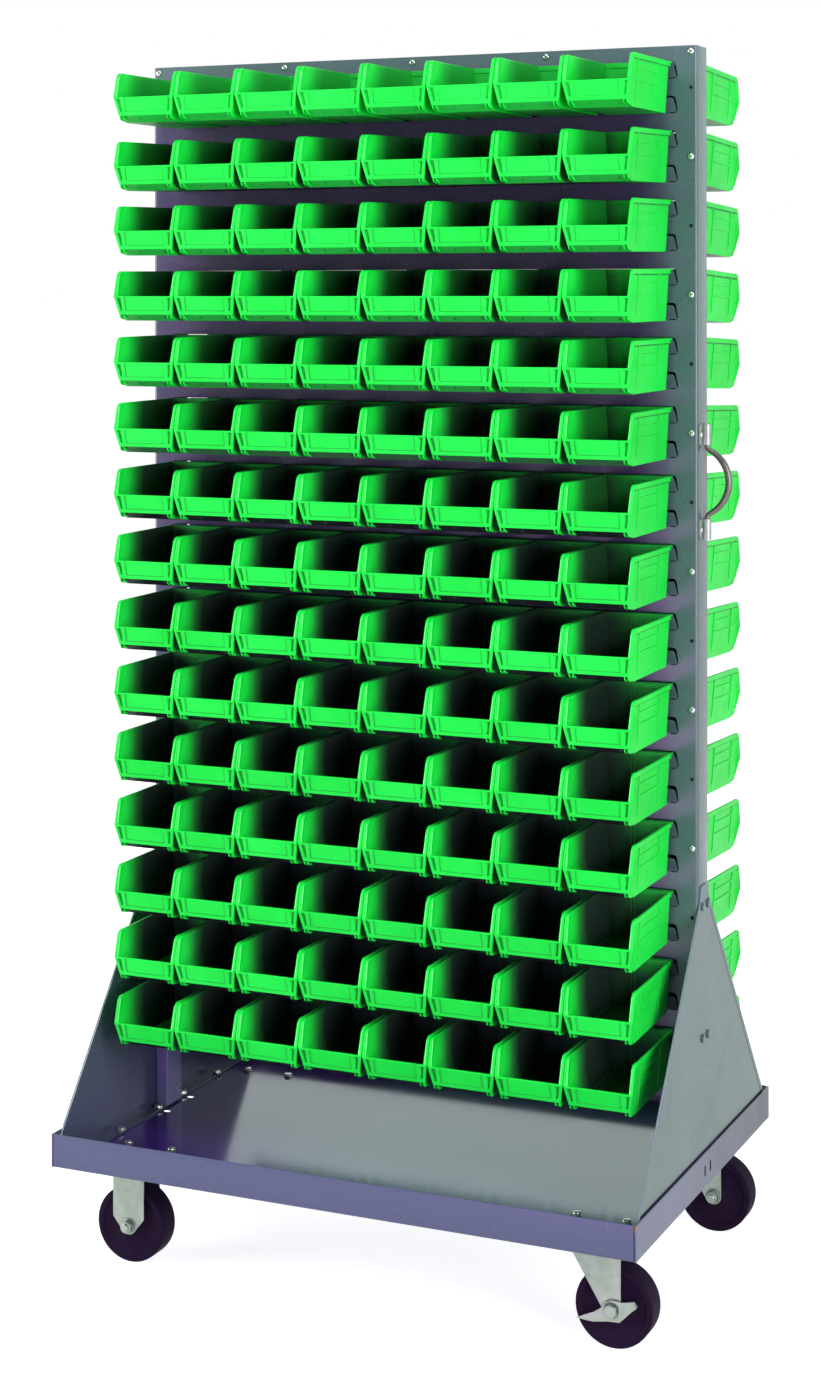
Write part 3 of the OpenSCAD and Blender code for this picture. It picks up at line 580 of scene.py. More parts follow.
def bin_master():
    b = Build()
    for s in (-1, 1):
        bin_side(b, s)
    bin_front(b)
    # The base, the sloping toe and the back wall
    run = -BIN_FRONT + TOE_RUN
    edge = HALF_BASE - 0.4
    stations = (run, -150.0, -136.0, -118.0, -98.0, -BIN_BACK - 0.3)
    b.slab([[(-edge, y, BIN_WALL), (edge, y, BIN_WALL)] for y in stations],
           [[(-edge, y, 0.0), (edge, y, 0.0)] for y in stations])
    toe = [(-edge, run + 0.4, 0.0), (-edge, -182.0, 9.5), (-edge, -179.6, 11.0), (-edge, run + 1.0, 2.2)]
    b.loft([toe, [(edge, y, z) for x, y, z in toe]])
    grid = [[(u * (wall_x(z) - 0.5), BACK_IN, z) for u in (-1.0, -0.55, -0.1, 0.35, 0.7, 1.0)]
            for z in (0.3, 24.0, 46.0, 62.0, 75.6)]
    b.slab(grid, [[(x, -BIN_BACK, z) for x, y, z in line] for line in grid])
    # The hanger over the louver, with its rolled top edge, and the ledge under it
    hook = [(-16.0, 69.0), (-16.0, 75.4), (-15.2, 76.2), (-4.0, 76.2), (-3.2, 75.4), (-3.2, 69.7),
            (-5.4, 69.7), (-5.4, 73.7), (-10.5, 73.7), (-10.5, 69.0)]
    half = BIN_W / 2
    b.loft([[(x, y, z) for y, z in hook] for x in (-half + 0.2, -27.0, -4.0, 18.0, 36.0, half - 0.2)])
    b.box((-42.5, -13.5, 0.0), (42.5, -9.9, 3.0), 0.6)
    # Two thin ribs inside the back wall
    for x in (-9.5, -4.5):
        b.box((x - 0.6, BACK_IN - 0.9, 2.0), (x + 0.6, BACK_IN + 0.3, 70.0))
    # The ladder of ribs on each side, and the feet under the front corners
    for s in (-1, 1):
        for y in (-60.0, -148.0):
            ribs = []
            for z, out in ((8.0, 0.1), (16.0, 1.3), (68.9, 1.7)):
                x = wall_x(z)
                ribs.append([(s * (x - 0.4), y - 1.5, z), (s * (x + out), y - 1.1, z),
                             (s * (x + out), y + 1.1, z), (s * (x - 0.4), y + 1.5, z)])
            b.loft(ribs)
        for z in (38.5, 55.5):
            x = wall_x(z)
            rib = [(x - 0.4, z - 1.4), (x + 1.4, z - 1.0), (x + 1.4, z + 1.0), (x - 0.4, z + 1.4)]
            b.loft([[(s * u, y, v) for u, v in rib] for y in (-148.0, -60.0)])
        foot = [(-182.4, 9.6), (-181.6, 5.6), (-178.6, 3.4), (-168.0, 1.4), (-166.0, 2.0), (-178.0, 9.0)]
        for near, far in ((38.2, 39.3), (43.6, 44.9)):
            b.loft([[(s * x, y, z) for y, z in foot] for x in (near, far)])
    for mid in TOE_MARKS:
        mark = ((-176.0, 6.9), (-170.5, 4.1), (-170.0, 5.0), (-175.5, 7.8))
        b.loft([[(x, y - 0.4, z - 0.4) for y, z in mark] for x in (mid - 1.5, mid + 1.5)])
    return b


def smooth(x, low, high):
    t = min(1.0, max(0.0, (x - low) / (high - low)))
    return t * t * (3 - 2 * t)


def painted_inner_shade(point, reach):
    """Painted shade inside a bin: 0 at the mouth and on the rim, 1 deep within."""
    x, y, z = point
    wall = wall_x(z)
    if abs(y + BIN_BACK) < 0.05:
        return 0.0 if abs(x) > wall - 0.3 else 0.95
    # The back wall and rear rim: painted shade, lightened towards the upper corner on the positive x side as a
    # painted pool of light.
    if z > 68.8 and y > -17.0 or abs(y - BACK_IN) < 0.3:
        lit = smooth(0.6 * x / HALF_BASE + 0.8 * (z / MOUTH - 1.0), 0.1, 0.9)
        return 0.94 - 0.5 * lit
    if abs(y - BACK_IN + 0.9) < 0.1:
        return 0.5
    deep = y - front_y(z)
    if z < 1.5 or deep < 1.2 or y > BACK_IN + 1.7 or abs(x) > wall - 1.2:
        return 0.0
    return smooth(deep / reach, 12.0, 74.0)


def crease(point):
    """Painted shade in thin lines round the label place, in the pockets, under the rim, beside the ribs and on
    the toe's marks.
    """
    x, y, z = point
    wall, side = wall_x(z), abs(x)
    deep = y - front_y(max(z, TOE_Z))
    if z < 9.6 and any(abs(x - mid) < 1.6 for mid in TOE_MARKS):
        return 0.95
    if 15.1 < z < 37.0 and deep < 1.5 and side < 33.6 and (side > 32.7 or z < 15.9):
        return 0.5
    if 15.7 < z < 35.0 and 2.0 < deep < 3.4 and side > 39.5:
        return 0.5
    if abs(side - wall + 0.4) < 0.13 and z < 69.0 and -151.0 < y < -57.0:
        return 0.9
    if 68.0 < z < 68.9 and wall - 0.5 < side < wall + 1.8 and y > -172.0:
        return 0.9
    return 0.0


def glint(point):
    """Whether a place lies on the bead along a side wall's front edge, which is rubbed smooth."""
    x, y, z = point
    wall = wall_x(z)
    bead = wall - BIN_WALL - 2.4 + 0.62 * (mouth_x(z) - wall)
    return 38.5 < z < 74.0 and y - front_y(z) < 9.0 and abs(x) < bead + 2.0


def between(point):
    """Painted shade on the outside of a bin, where its neighbours and the panel close it in."""
    x, y, z = point
    deep = y - front_y(z)
    if abs(x) < wall_x(z) - 1.2:
        return 0.0
    if z > 68.0:
        return 0.9 * smooth(deep, 40.0, 90.0)
    return smooth(deep, 1.0, 12.0)


# By row: how far the painted light reaches into a bin, and how dark the painted shade of its inside, its thin
# lines and its toe is
REACH = {2: 1.5, 3: 1.5, 4: 1.5, 5: 1.45, 6: 1.3, 7: 1.15}
INSIDE = {1: 0.42, 2: 0.94}
END_INSIDE = {1: 0.42, 2: 0.5, 3: 0.54, 4: 0.54, 5: 0.58, 6: 0.66, 7: 0.8, 8: 0.92}
LINES = {1: 0.6, 2: 0.78, 3: 0.9}
TOES = {1: 0.35, 2: 0.42, 3: 0.45, 4: 0.5, 5: 0.6, 6: 0.9}
TOE_BLACK, RUBBED = 1.8, -1.0


def set_tone_and_shade(obj, master, rows, sides, end, rear=False):
    """A slight difference of tone from bin to bin, and painted shade in its hollows, as attributes.

    The top row stands open, so it gets less painted shade inside, as do the upper bins of the end column;
    sides says which outer walls face a neighbour.
    """
    tone = obj.data.attributes.new("tone", "FLOAT", "POINT")
    painted_shade_and_rub = obj.data.attributes.new("painted_shade_and_rub", "FLOAT", "POINT")
    side_shade = [between(p) if (p[0] > 0) in sides else 0.0 for p in master.v]
    # The rear bins' flare facets get a little painted shade.
    if rear:
        flare = [abs(x) > wall_x(z) + 0.9 and y - front_y(z) < 9.0 and z > 10.0 for x, y, z in master.v]
        side_shade = [max(h, 0.2) if f else h for h, f in zip(side_shade, flare)]
    lines = [crease(p) for p in master.v]
    smoothed = [glint(p) for p in master.v]
    # The toe under the front corners gets painted shade by row, near black below the sixth row.
    under = [z < 9.6 and y < -150.0 and abs(abs(x) - HALF_BASE + 0.4) < 0.05 for x, y, z in master.v]
    values, dim = [], []
    for row in rows:
        values.extend([rng.random()] * len(lines))
        reach, faint, toe = REACH.get(row, 1.0), LINES.get(row, 1.0), TOES.get(row, TOE_BLACK)
        light = (END_INSIDE if end else INSIDE).get(row, 1.0)
        for p, h, k, u, rubbed in zip(master.v, side_shade, lines, under, smoothed):
            value = toe if u else max(painted_inner_shade(p, reach) * light, 0.0 if row == 1 else h, k * faint)
            dim.append(RUBBED if rubbed and value < 0.05 else value)
    tone.data.foreach_set("value", values)
    painted_shade_and_rub.data.foreach_set("value", dim)


def col_x(c):
    return (c - (COLS + 1) / 2) * COL_PITCH


def make_bins():
    master = bin_master()
    for c in range(1, COLS + 1):
        top = Build()
        top.extend(master, shift(col_x(c), -PANEL_Y, TOP_BIN_Z))
        obj = piece(f"hopper_bin_top_{c}", top, [GREEN], f"top_bin_{c}", [f"top_bin_{c}"], 38)
        sides = {True, False} - ({True} if c == COLS else set()) - ({False} if c == 1 else set())
        set_tone_and_shade(obj, master, [1], set(), c == COLS)
        column = Build()
        for r in range(2, ROWS + 1):
            column.extend(master, hang(c, r))
        obj = piece(f"hopper_bins_front_{c}", column, [GREEN], "rack", [f"front_bins_{c}"], 38)
        set_tone_and_shade(obj, master, range(2, ROWS + 1), sides, c == COLS)
        column = Build()
        for r in range(1, ROWS + 1):
            column.extend(master, hang(c, r, True))
        obj = piece(f"hopper_bins_rear_{c}", column, [GREEN], "rack", [f"rear_bins_{c}"], 38)
        set_tone_and_shade(obj, master, range(1, ROWS + 1), {not side for side in sides}, c == 1, True)


make_bins()


# Sheet metal: tray, end panels, uprights, top rail and louvered panels

def arc(cx, cy, r, a0, a1, n):
    step = (a1 - a0) / n
    return [(cx + r * math.cos(math.radians(a0 + step * i)), cy + r * math.sin(math.radians(a0 + step * i)))
            for i in range(n + 1)]


def rounded(x0, y0, x1, y1, r, n=4):
    """Outline of a rectangle with round corners."""
    return (arc(x1 - r, y0 + r, r, -90, 0, n) + arc(x1 - r, y1 - r, r, 0, 90, n)
            + arc(x0 + r, y1 - r, r, 90, 180, n) + arc(x0 + r, y0 + r, r, 180, 270, n))


def slot_outline(cx, cy, length, wide, upright=False):
    """Outline of a slot with round ends."""
    run, n = (length - wide) / 2, 8
    if upright:
        return arc(cx, cy + run, wide / 2, 0, 180, n) + arc(cx, cy - run, wide / 2, 180, 360, n)
    return arc(cx + run, cy, wide / 2, -90, 90, n) + arc(cx - run, cy, wide / 2, 90, 270, n)


def circle(cx, cy, r, n=20):
    return arc(cx, cy, r, 0, 360 - 360 / n, n - 1)


def within(ring, u, v):
    """Whether a point lies inside a closed ring."""
    odd = False
    for (u0, v0), (u1, v1) in zip(ring, ring[1:] + ring[:1]):
        if (v0 > v) != (v1 > v) and u < u0 + (v - v0) / (v1 - v0) * (u1 - u0):
            odd = not odd
    return odd


def plate(b, outline, holes, place, depth, cham=0.5, mat=0, hole_mat=None, wall_mat=None):
    """A sheet with an outline and holes; place(u, v, w) sets it, w running through its thickness."""
    rings = [outline] + holes
    flat, edges = [], []
    for ring in rings:
        start = len(flat)
        flat.extend(ring)
        edges.extend([(start + i, start + (i + 1) % len(ring)) for i in range(len(ring))])
    res = delaunay_2d_cdt([Vector(p) for p in flat], edges, [], 1, 1e-6)
    pts = [tuple(p) for p in res[0]]
    spans = []
    for ring in holes:
        us, vs = zip(*ring)
        spans.append((min(us), max(us), min(vs), max(vs)))
    tris = []
    for tri in res[2]:
        u = sum(pts[i][0] for i in tri) / 3
        v = sum(pts[i][1] for i in tri) / 3
        cut = any(u0 < u < u1 and v0 < v < v1 and within(ring, u, v)
                  for ring, (u0, u1, v0, v1) in zip(holes, spans))
        if within(outline, u, v) and not cut:
            tris.append(tuple(tri))
    side = inset_ring(outline, cham)
    keep = {(round(p[0], 4), round(p[1], 4)): q for p, q in zip(outline, side)}
    moved = [keep.get((round(p[0], 4), round(p[1], 4)), p) for p in pts]
    b.add([place(u, v, 0) for u, v in moved], tris, mat)
    b.add([place(u, v, depth) for u, v in moved], [tuple(reversed(t)) for t in tris], mat)
    for k, ring in enumerate(rings):
        inner = side if k == 0 else ring
        n = len(ring)
        if k == 0:
            loops = [(inner, 0), (ring, cham), (ring, depth - cham), (inner, depth)]
        else:
            loops = [(ring, 0), (ring, depth)]
        verts = [place(u, v, w) for loop, w in loops for u, v in loop]
        faces = []
        for j in range(len(loops) - 1):
            for i in range(n):
                faces.append((j * n + i, j * n + (i + 1) % n, (j + 1) * n + (i + 1) % n, (j + 1) * n + i))
        edge = wall_mat if k == 0 else hole_mat
        b.add(verts, faces, mat if edge is None else edge)


def inset_ring(outline, inset):
    n = len(outline)
    area = sum(outline[i - 1][0] * outline[i][1] - outline[i][0] * outline[i - 1][1] for i in range(n))
    turn = 1.0 if area > 0 else -1.0
    ring = []
    for i, (u, v) in enumerate(outline):
        a, c = Vector(outline[i - 1]), Vector(outline[(i + 1) % n])
        here = Vector((u, v))
        d1, d2 = (here - a).normalized(), (c - here).normalized()
        normal = Vector((d1.y + d2.y, -d1.x - d2.x)).normalized() * turn
        k = max(0.5, normal.dot(Vector((d2.y, -d2.x)) * turn))
        q = here - normal * (inset / k)
        ring.append((q.x, q.y))
    return ring


def make_tray():
    b = Build()
    half_x, half_y, low, high, t = TRAY_X, TRAY_Y, TRAY_LOW, TRAY_HIGH, TRAY_SHEET
    gap = 2.6
    holes = [circle(x, y, BOLT_HOLE) for x, y in CASTER_BOLTS]
    holes += [circle(s * FLANGE_X, y, BOLT_HOLE) for s in (-1, 1) for y in FLANGE_Y]
    slots = [(s * 427.5, y) for s in (-1, 1) for y in (-38, 38)]
    dishes = [rounded(x - 10.0, y - 14.0, x + 10.0, y + 14.0, 3.0) for x, y in slots]
    deck = rounded(gap - half_x, gap - half_y, half_x - gap, half_y - gap, 2.0)
    plate(b, deck, holes + dishes, lambda u, v, w: (u, v, low + w), t, 0.2, 1)
    # The sheet is dished from below round the four slots, so that it is thin at their edges
    skin = 0.5
    for (x, y), dish in zip(slots, dishes):
        slot = slot_outline(x, y, 11.4, 9.0)
        plate(b, dish, [slot], lambda u, v, w: (u, v, DECK_Z - skin + w), skin, 0.0001, 1)
    # Lips: bent up along all four sides, with open corners
    for s in (-1, 1):
        outer = [(u, low + v) for u, v in arc(4.0, 4.0, 4.0, 270, 180, 6)]
        outer += [(0.0, high - 0.9), (0.25, high - 0.25), (0.9, high)]
        inner = [(t - 0.9, high), (t - 0.25, high - 0.25), (t, high - 0.9), (t, low + 4.0), (2.9, low + 2.9),
                 (4.0, low + t)]
        run = half_x - t - 1.1
        b.loft([[(x, s * (half_y - u), v) for u, v in outer + inner] for x in (-run, run)])
    for s in (-1, 1):
        face = rounded(-half_y, low, half_y, high, 0.8, 2)
        slots = [slot_outline(y, 177.0, 16.0, 6.0, True) for y in (-13, 13)]
        # The slots in the end lips have near black walls, as painted shade.
        plate(b, face, slots, lambda u, v, w: (s * (half_x - w), u, v), t, 0.5, 0, 2)
    mats = [TRAY_PAINT, DECK_PAINT, SHADE]
    piece("lipped_base_tray", b, mats, "rack", ["base_tray"], 35)


def make_end_panel(s, name):
    b = Build()
    outer, t = BRACE_X, 2.7
    half, foot, low, top, edge = 320.5, 177.7, FLANGE_LOW, 594.5, 576.5
    right = ([(half, low), (half, foot - 4), (half - 2.0, foot + 3), (20.6, edge - 3), (19.6, edge + 3)]
             + arc(13.0, top - 3.0, 3.0, 10, 90, 3))
    outline = [(-half, low)] + right + [(-u, v) for u, v in reversed(right[1:])]
    holes = [circle(y, z, BOLT_HOLE) for y, z in BRACE_BOLTS]
    # The cut edges take the lighter edge paint, a painted highlight.
    plate(b, outline, holes, lambda u, v, w: (s * (outer - w), u, v), t, 0.8, wall_mat=1)
    # A flattened hem stands a little proud along both slanting edges
    lean = Vector((20.6 - half + 2.0, edge - foot)).normalized()
    across = Vector((-lean.y, lean.x))
    start, stop = Vector((half - 2.0, foot + 3)) + lean * 34.0, Vector((20.6, edge - 3))
    strip = [start + across * 0.9, stop + across * 0.9, stop + across * 8.4, start + across * 8.4]
    for f in (-1, 1):
        b.loft([[(s * (outer - w), f * p.x, p.y) for p in strip] for w in (0.4, -0.25, -0.4)])
    # The foot flange
    feet = rounded(438.4, -308.5, outer - 1.0, 308.5, 2.0)
    bolts = [circle(FLANGE_X, y, BOLT_HOLE) for y in FLANGE_Y]
    plate(b, feet, bolts, lambda u, v, w: (s * u, v, FLANGE_LOW + w), FLANGE_TOP - FLANGE_LOW)
    mats = [LEFT_PAINT if s < 0 else END_PAINT, EDGE_HIGHLIGHT]
    piece(f"{name}_brace_panel", b, mats, "rack", [f"{name}_end_panel"], 35)


def tube(b, outer, inner, stations, place):
    """A hollow section along its stations of (ring, distance), closed on itself."""
    rings = {"in": inner, "out": outer, "edge": inset_ring(outer, 0.5)}
    b.loft([[place(u, v, w) for u, v in rings[ring]] for ring, w in stations], caps=False)


def make_upright(s, name):
    b = Build()
    low, high = 158.9, PANEL_TOP
    stations = [("in", low), ("out", low), ("out", high - 0.5), ("edge", high), ("in", high), ("in", low)]
    outer, inner = rounded(435.2, -23.3, 457.2, 23.3, 3.2, 5), rounded(437.2, -21.3, 455.2, 21.3, 1.4, 5)
    tube(b, outer, inner, stations, lambda u, v, w: (s * u, v, w))
    piece(f"{name}_tube_upright", b, [POST_PAINT], "rack", [f"{name}_upright"], 35)


def make_rail():
    b = Build()
    half = 435
    stations = [("in", -half), ("out", -half), ("out", half), ("in", half), ("in", -half)]
    outer, inner = rounded(-23.3, 1800.7, 23.3, 1830.7, 3.0), rounded(-21.3, 1802.7, 21.3, 1828.7, 1.4)
    tube(b, outer, inner, stations, lambda u, v, w: (w, u, v))
    piece("top_tube_rail", b, [POST_PAINT], "rack", ["top_rail"], 35)


SPAN, SEGS, WEB, SLIT, TAPER = 865.6, 4, 14.0, 2.2, 4.0
LOUVER_H = 19.0
TONGUE = [(0.0, -1.2, 0.0), (-0.1, 0.2, 0.0), (-0.75, 2.2, 0.3), (-4.0, 8.6, 0.9), (-7.9, 16.2, 1.9),
          (-8.8, 17.9, 2.9), (-9.25, 18.7, 4.0), (-9.5, 19.0, 5.4)]


def louvers():
    """The left end, right end and foot of each louver."""
    pitch = SPAN / SEGS
    for row in range(2 * ROWS):
        for k in range(SEGS):
            left = -SPAN / 2 + k * pitch + WEB / 2
            yield left, left + pitch - WEB, 331.3 + ROW_PITCH / 2 * row - LOUVER_H


def louver_window(x0, x1, foot):
    """Outline of the opening that a louver leaves, with relief cuts at its bend."""
    top, end = foot + LOUVER_H + 3.6, x1 + SLIT
    right = [(x1 - 11.0, foot), (x1 - 11.0, foot - 2.8), (x1 - 1.5, foot - 2.8), (x1, foot - 0.2),
             (end, foot + 0.4), (end - TAPER * 0.85, top - 4.0), (end - TAPER - 0.9, top - 1.0),
             (end - TAPER - 3.2, top)]
    return right + [(x0 + x1 - x, z) for x, z in reversed(right)]


def side_holes(first=0, step=1):
    return [(x, 1769.1 - ROW_PITCH * i) for i in range(first, 15, step) for x in (-448, 448)]


def make_panel(flip, name):
    b = Build()
    bend = 4.0
    flat_x = PANEL_HALF - bend
    holes = [louver_window(*louver) for louver in louvers()]
    holes += [circle(x, z, 2.9, 14) for x, z in TOP_HOLES + side_holes()]
    outline = [(-flat_x, PANEL_LOW), (flat_x, PANEL_LOW), (flat_x, PANEL_TOP), (-flat_x, PANEL_TOP)]
    plate(b, outline, holes, lambda u, v, w: (u, -PANEL_Y + w, v), 1.5, 0.0001)
    # Dark discs as painted shade: the tapped holes of the uprights, seen through the sheet's empty holes
    for x, z in side_holes():
        b.lathe([(0.2, 0.0), (2.8, 0.0), (2.8, 0.12), (0.2, 0.12)], (x, -PANEL_Y + 1.38, z), (0, 1, 0), 14, 1)
    # The bent side edges
    bent = arc(flat_x, bend - PANEL_Y, bend, -90, 0, 7) + arc(flat_x, bend - PANEL_Y, 2.5, 0, -90, 7)
    for s in (-1, 1):
        b.loft([[(s * x, y, z) for x, y in bent] for z in (PANEL_LOW, PANEL_TOP)])
    for x0, x1, foot in louvers():
        front, back = [], []
        for i, (y, z, inset) in enumerate(TONGUE):
            y, z = y - PANEL_Y, z + foot
            dy, dz = (1.45, 0.0) if i < 2 else (1.3, 0.62)
            if i == len(TONGUE) - 1:
                dz = 0.0
            front.append([(x, y, z) for x in (x0 + inset, x1 - inset)])
            back.append([(x, y + dy, z + dz) for x in (x0 + inset, x1 - inset)])
        b.slab(front, back, 2)
    if flip:
        b.v = [(-x, -y, z) for x, y, z in b.v]
    mats = [PANEL_PAINT, SHADE, LOUVER_PAINT]
    piece(f"{name}_louvered_sheet", b, mats, "rack", [f"{name}_louver_panel"], 28)


make_tray()
make_end_panel(-1, "left")
make_end_panel(1, "right")
make_upright(-1, "left")
make_upright(1, "right")
make_rail()
make_panel(False, "front")
make_panel(True, "rear")


# Fasteners

def hex_head(b, centre, axis, across, height, turn, washer=0.0):
    """A hexagon head with its chamfered crown, standing on centre along axis."""
    seg, sixth = 24, math.pi / 3
    corner, flat = across / math.sqrt(3.0), across / 2
    inner = flat * 0.96
    lift = 0.0
    if washer:
        lift = 1.2
        b.lathe([(washer - 0.4, 0.0), (washer, 0.4), (washer, 0.9), (washer - 0.6, 1.3), (inner * 0.9, 1.3)],
                centre, axis, 28)
    hexagon = [flat / math.cos((2 * math.pi * i / seg + sixth / 2) % sixth - sixth / 2) for i in range(seg)]
    crown = [min(r, corner * 0.955) for r in hexagon]
    top = height - 0.14 * across
    ring = ring_maker(centre, axis, seg, turn)
    b.loft([ring(hexagon, lift), ring(hexagon, top - 0.2), ring(crown, top + 0.5), ring(inner, height - 0.25),
            ring(inner * 0.9, height)])


def pan_head(b, centre, axis, r, height):
    """A domed head with a cross recess."""
    seg, rim = 32, 0.35
    ring = ring_maker(centre, axis, seg)
    dome = [ring(r * 0.96, 0.0), ring(r, rim)]
    for k in range(1, 7):
        a = math.radians(13 * k)
        dome.append(ring(r * math.cos(a), rim + (height - rim) * math.sin(a) / math.sin(math.radians(78))))
    cross = [{0: 1.0, 1: 0.62, 7: 0.62}.get(i % 8, 0.36) for i in range(seg)]
    for wide, level in ((0.52, 0.985), (0.44, 0.45)):
        dome.append(ring([r * wide * c for c in cross], height * level))
    b.loft(dome)


def deck_bolt(b, spot, shank):
    """A hexagon bolt with its washer, standing on spot, and its shank below."""
    hex_head(b, spot, (0, 0, 1), 12.4, 5.1, rng.random() * 3, 7.1)
    b.lathe([(4.0, -shank), (4.0, 0.5)], spot, (0, 0, 1), 16)


def make_fasteners():
    b = Build()
    for s in (-1, 1):
        for x, z in TOP_HOLES + side_holes(1, 2):
            pan_head(b, (x, s * (PANEL_Y + 0.1), z), (0, s, 0), 5.1, 2.9)
            b.lathe([(2.4, -6.0), (2.4, 0.3)], (x, s * PANEL_Y, z), (0, s, 0), 12)
    piece("pan_head_screws", b, [BRIGHT], "rack", ["panel_screws"], 40)
    b = Build()
    for s in (-1, 1):
        for y, z in BRACE_BOLTS:
            hex_head(b, (s * (BRACE_X + 0.1), y, z), (s, 0, 0), 12.4, 2.6, rng.random())
    piece("brace_bolts", b, [END_PAINT], "rack", ["end_panel_bolts"], 30)
    b = Build()
    for s in (-1, 1):
        for y in FLANGE_Y:
            deck_bolt(b, (s * FLANGE_X, y, FLANGE_TOP), 9.5)
    piece("flange_hex_bolts", b, [BRIGHT], "rack", ["flange_bolts"], 30)
    b = Build()
    for x, y in CASTER_BOLTS:
        deck_bolt(b, (x, y, DECK_Z), 12.5)
    piece("caster_hex_bolts", b, [BRIGHT], "rack", ["caster_bolts"], 30)


make_fasteners()


# Handle

def sweep(b, rod):
    """A round rod in the plane of the pivot, through (x, z, radius) points."""
    path = [Vector((x, 0, z)) for x, z, radius in rod]
    side = Vector((0, 1, 0))
    turns = [math.radians(15 * k) for k in range(24)]
    loops = []
    for i, (x, z, radius) in enumerate(rod):
        along = (path[min(i + 1, len(path) - 1)] - path[max(i - 1, 0)]).normalized()
        up = along.cross(side).normalized()
        loops.append([tuple(path[i] + side * (radius * math.cos(t)) + up * (radius * math.sin(t)))
                      for t in turns])
    b.loft(loops)


def make_handle():
    half, reach, r = 48.5, 33.3, 51.97
    stem = [(0.0, 68.0, 3.9), (0.0, 60.0, 3.9), (0.0, 56.0, 3.9), (0.2, 51.6, 3.9), (1.5, 48.6, 3.8)]
    bow = []
    angle = math.degrees(math.asin(half / r))
    for i in range(41):
        a = angle - 6.0 - (2 * angle - 12.0) * i / 40
        thick = 3.7 + 1.3 * min(1.0, max(0.0, (angle - abs(a)) / 38.0)) ** 0.8
        bow.append((reach - r + r * math.cos(math.radians(a)), r * math.sin(math.radians(a)), thick))
    rod = stem + bow + [(x, -z, thick) for x, z, thick in reversed(stem)]
    b = Build()
    sweep(b, [(HANDLE_X + x, HANDLE_Z + z, thick) for x, z, thick in rod])
    piece("pull_bail", b, [BAIL], "bail", ["handle_bail"], 60)
    face, sheet = PANEL_HALF + 0.2, 2.0
    for s, name in ((1, "upper"), (-1, "lower")):
        b = Build()
        mid = HANDLE_Z + s * BRACKET_UP
        corner = 2.0 if s > 0 else 9.0
        right = arc(19 - corner, corner - 15.5, corner, -90, 0, 5) + arc(17.0, 13.5, 2.0, 0, 90, 3)
        outline = right + [(-u, v) for u, v in reversed(right)]
        holes = [circle(y, 0.0, 2.7, 16) for y in (-13, 13)]
        plate(b, outline, holes, lambda u, v, w: (face + sheet - w, u, mid + v), sheet, 0.4)
        barrel = [(5.6, -15.5), (6.0, -15.0), (6.0, 15.0), (5.6, 15.5), (4.2, 15.5), (4.1, 14.8),
                  (4.1, -14.8), (4.2, -15.5), (5.6, -15.5)]
        b.lathe(barrel, (HANDLE_X, 0, mid), (0, 0, 1), 32, caps=False)
        for y in (-6.0, 4.4):
            b.box((face + 0.3, y, mid - 15.3), (HANDLE_X, y + 1.6, mid + 15.3), 0.4)
        piece(f"bracket_{name}", b, [ZINC], "rack", [f"handle_{name}_bracket"], 35)
    b = Build()
    for s in (-1, 1):
        for y in (-13, 13):
            spot = (face + sheet, y, HANDLE_Z + s * BRACKET_UP)
            pan_head(b, spot, (1, 0, 0), 4.5, 2.5)
            b.lathe([(2.4, -7.0), (2.4, 0.3)], spot, (1, 0, 0), 12)
    piece("bracket_rivets", b, [BRIGHT], "rack", ["handle_screws"], 40)


make_handle()


# Casters

LEG_IN, LEG_OUT, PLATE_Z, CROWN_Z = 22.45, 25.45, 149.8, 136.0


def wheel_piece(cx, cy, name, body):
    b = Build()
    side = [(6.1, 22.0), (14.6, 22.0), (15.5, 21.6), (16.0, 20.8), (16.6, 18.1), (17.3, 17.6), (25.0, 17.6),
            (26.0, 17.3), (27.0, 16.7), (28.2, 16.5), (45.0, 16.5), (46.0, 16.8), (47.2, 18.3), (48.0, 18.9),
            (48.9, 19.05), (54.4, 19.05), (55.3, 18.9), (56.1, 18.4), (56.7, 17.5), (57.0, 16.0),
            (WHEEL_R, 13.0), (WHEEL_R, 4.0)]
    profile = side + [(r, -h) for r, h in reversed(side)] + [side[0]]
    b.lathe(profile, (cx, cy, WHEEL_R), (0, 1, 0), 96, caps=False, turn=math.pi / 2)
    piece(f"{name}_phenolic_wheel", b, [WHEEL], body, [f"{name}_wheel"], 50)


def caster_plate(b, cx, cy):
    outline = rounded(-50.8, -46.0, 50.8, 46.0, 6.0, 5)
    holes = [circle(x, y, BOLT_HOLE) for x, y in PLATE_BOLTS]
    plate(b, outline, holes, lambda u, v, w: (cx + u, cy + v, PLATE_Z + w), 3.0)


def leg(b, outline, cx, cy, f, bore_x):
    """One leg of a fork: f is the side it stands on."""
    def place(u, v, w):
        return (cx + u, cy + f * (LEG_OUT - w), v)
    plate(b, outline, [circle(bore_x, WHEEL_R, 6.4)], place, 3.0, 0.7)


def rigid_caster(s, end):
    cx, cy = -CASTER_X, s * CASTER_Y
    b = Build()
    caster_plate(b, cx, cy)
    tip = arc(0, WHEEL_R, 13.5, 205, 335, 12)
    outline = ([(-26.5, PLATE_Z + 1.5)] + arc(-23.5, 70.0, 3.0, 180, 222, 3) + tip
               + arc(23.5, 70.0, 3.0, 318, 360, 3) + [(26.5, PLATE_Z + 1.5)])
    # The bend from the plate into each leg
    bend = arc(LEG_OUT - 4.0, PLATE_Z - 1.0, 4.0, 0, 90, 5)
    bend += [(LEG_OUT - 5.0, PLATE_Z + 1), (LEG_IN, PLATE_Z - 6)]
    for f in (-1, 1):
        leg(b, outline, cx, cy, f, 0.0)
        b.loft([[(cx + x, cy + f * u, v) for u, v in bend] for x in (-26.2, 26.2)])
    piece(f"{end}_left_rigid_fork", b, [ZINC], "rack", [f"{end}_left_fork"], 35)
    axle_piece(cx, cy, s, f"{end}_left", "rack", 0.0, True)
    wheel_piece(cx, cy, f"{end}_left", f"{end}_left_wheel")


